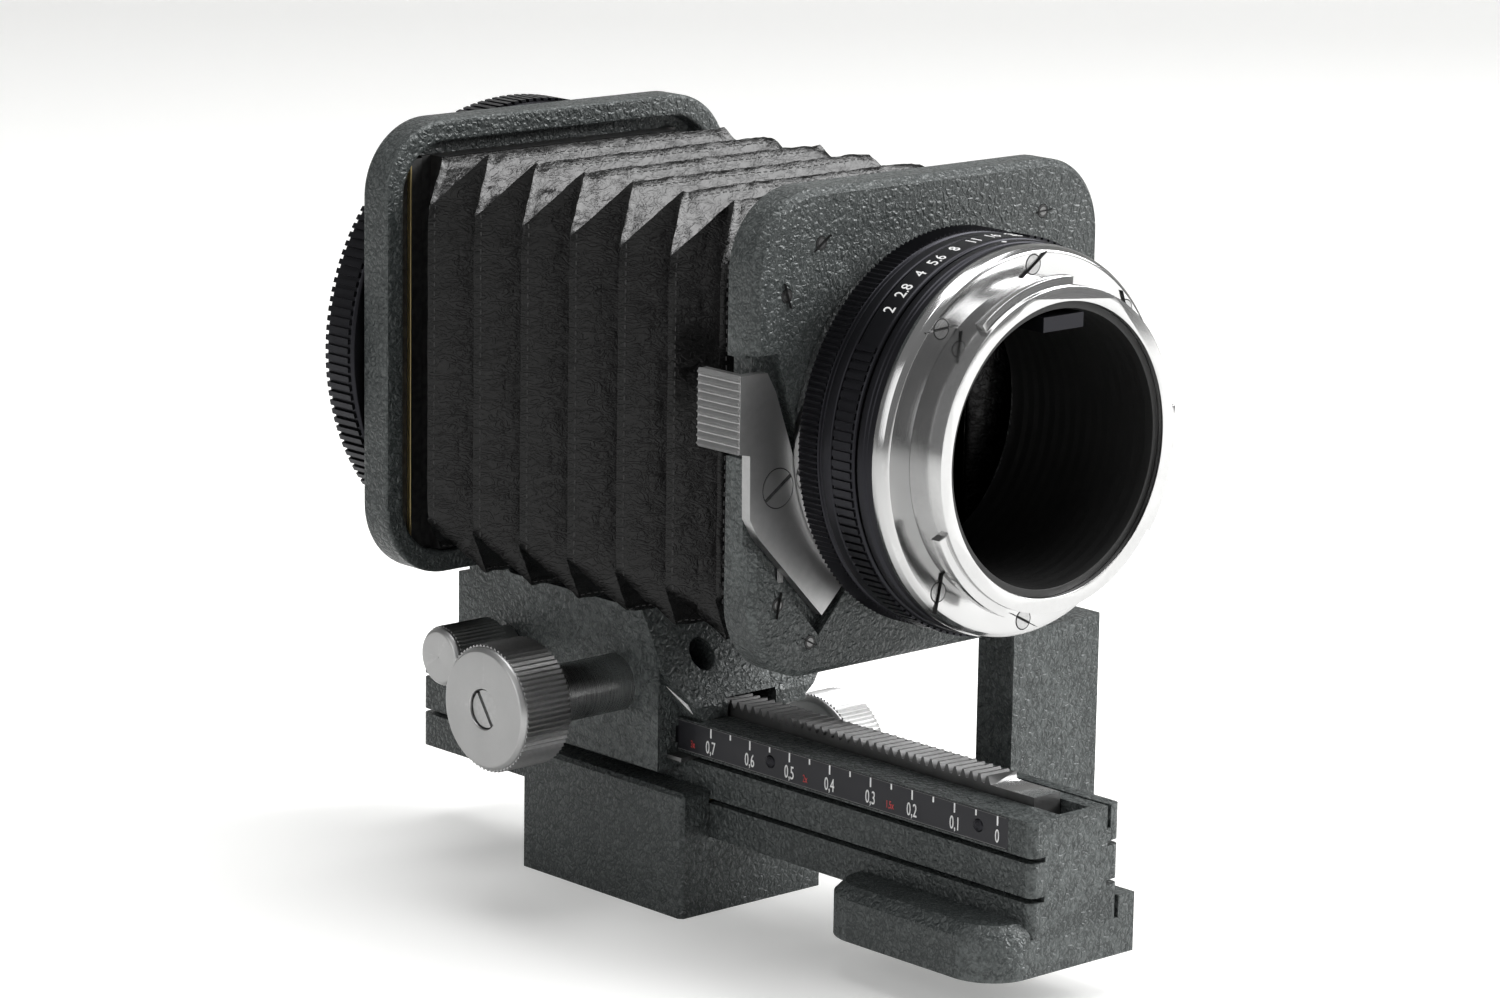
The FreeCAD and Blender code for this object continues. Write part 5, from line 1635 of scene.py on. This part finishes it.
@dataclass
class Knobs:
    """The focus, lock and clamp knobs."""

    focus: Point = (-44.45, -1.9, 37.8)
    lock: Point = (-31.1, 26.5, 39.1)
    clamp: Point = (33.0, 0.0, 15.6)

    def ribs(
        self, count: int, place: Point, radius: float, along: tuple[float, float], size: float
    ) -> bpy.types.Mesh:
        """Grows a straight knurl round a knob that turns about the X axis.

        Args:
            count: How many ribs.
            place: A point on the axis.
            radius: Radius of the ribs' middle.
            along: Start and end along X from that point.
            size: Width of one rib's side.

        Returns:
            The ribs' mesh.
        """
        values = {
            "Count": count,
            "Start": 0.0,
            "Step": 2.0 * math.pi / count,
            "Radius": radius * MM,
            "Along": -sum(along) / 2.0 * MM,
            "Size": (size * MM, (along[1] - along[0]) * MM, size * MM),
            "Lean": math.radians(45.0),
            "Facing": (0.0, 0.0, math.radians(90.0)),
            "Centre": tuple(value * MM for value in place),
        }
        return Growth.ribs(KNOB, **values)

    def build(self) -> None:
        """Builds the three knobs and the focus knob's slotted screw."""
        profile = [
            (1.5, 0.0), (1.5, 3.45), (0.0, 3.45), (0.0, 9.9), (0.75, 10.55), (10.3, 10.55), (10.65, 10.2),
            (10.65, 0.0),
        ]
        mesh = Bench.turn(profile, self.focus, Axis.X, 120, 0.22)
        Bench.gather(mesh, self.ribs(72, self.focus, 10.45, (1.0, 10.3), 0.7))
        made = Bench.piece("focus_grip", mesh, [KNOB], "focus", 40.0)
        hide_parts("focus_knob")
        heads = bmesh.new()
        place = (self.focus[0] + 0.5, *self.focus[1:])
        Bench.gather(heads, Growth.screws(STEEL, [place], (0.0, math.radians(-90.0), 0.0), 3.2, 1.4, 0.75))
        made = Bench.piece("focus_grip_screw", heads, [KNOB], "focus")
        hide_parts("focus_knob_screw")
        profile = [(0.0, 0.0), (0.0, 4.5), (0.7, 5.1), (12.0, 5.1), (12.4, 3.3), (15.9, 3.3), (15.9, 0.0)]
        mesh = Bench.turn(profile, self.lock, Axis.X, 72, 0.25)
        Bench.gather(mesh, self.ribs(44, self.lock, 4.98, (1.2, 11.8), 0.5))
        made = Bench.piece("lock_grip", mesh, [KNOB], "lock", 40.0)
        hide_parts("lock_knob")
        profile = [
            (0.0, 0.0), (0.0, 10.4), (0.8, 11.1), (8.3, 11.1), (9.5, 9.9), (9.5, 8.2), (8.7, 7.6), (8.7, 0.0),
        ]
        mesh = Bench.turn(profile, self.clamp, Axis.X, 120, 0.25)
        Bench.gather(mesh, self.ribs(80, self.clamp, 11.0, (1.0, 8.2), 0.66))
        made = Bench.piece("clamp_grip", mesh, [KNOB], "block_clamp", 40.0)
        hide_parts("clamp_knob")


@dataclass
class Rear:
    """The clamp ring behind the tray, and the thin brass strip beside the leather."""

    centre: Point = (0.0, 0.0, 91.6)

    def build(self) -> None:
        """Builds the ring with its grooves and the strip."""
        profile = [(38.5, 34.0), (38.5, 40.2), (39.0, 40.7), (45.1, 40.7), (45.6, 40.2), (45.6, 34.0)]
        mesh = Bench.turn(profile, self.centre, Axis.Y, 180, 0.2)
        values = {
            "Count": 155,
            "Start": 0.0,
            "Step": 2.0 * math.pi / 155,
            "Radius": 40.75 * MM,
            "Along": 42.05 * MM,
            "Size": (1.0 * MM, 6.2 * MM, 0.95 * MM),
            "Lean": 0.0,
            "Facing": (0.0, 0.0, 0.0),
            "Centre": tuple(value * MM for value in self.centre),
        }
        Bench.gather(mesh, Growth.ribs(BLACK, **values))
        made = Bench.piece("rear_grip", mesh, [BLACK], "ring", 40.0)
        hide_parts("rear_ring")
        strip = Bench.block((-32.5, 32.6, 58.0), (-32.2, 33.5, 125.0), 0.1)
        Bench.piece("brass_strip", strip, [BRASS], "carriage")
        # A plain black strip inside the tray, beside the leather's left edge.
        lining = Bench.block((-34.6, 33.6, 57.6), (-29.2, 34.4, 125.6), 0.2)
        Bench.piece("tray_black_strip", lining, [LINING_AND_SHADE], "carriage")


@dataclass
class IndexMark:
    """The white triangle on the carriage's slanting facet that reads the scale."""

    def build(self) -> None:
        """Lays the triangle a little over the facet."""
        corners = [(-13.1, -13.0, 38.9), (-11.2, -16.4, 36.0), (-10.0, -16.4, 34.2)]
        first, second, third = (Vector(corner) for corner in corners)
        out = (second - first).cross(third - first).normalized()
        if out.x > 0:
            out = -out
        points = [tuple(Vector(corner) + out * 0.05) for corner in corners]
        mesh = Bench.pressed(points, tuple(-out * 0.1))
        Bench.piece("index_mark", mesh, [WHITE], "carriage")


def main() -> None:
    """Builds the studio and every piece in order."""
    logging.basicConfig(level=logging.INFO, format="%(message)s")
    Studio().build()
    NodeDresser().dress()
    pieces = (
        Castings(), ScaleStrip(), Standard(), Adapter(), Knobs(), Rear(), IndexMark(), RackTeeth(),
        BellowsSkin(),
    )
    for piece in pieces:
        LOG.info("building %s", type(piece).__name__)
        piece.build()


if __name__ == "__main__":
    main()
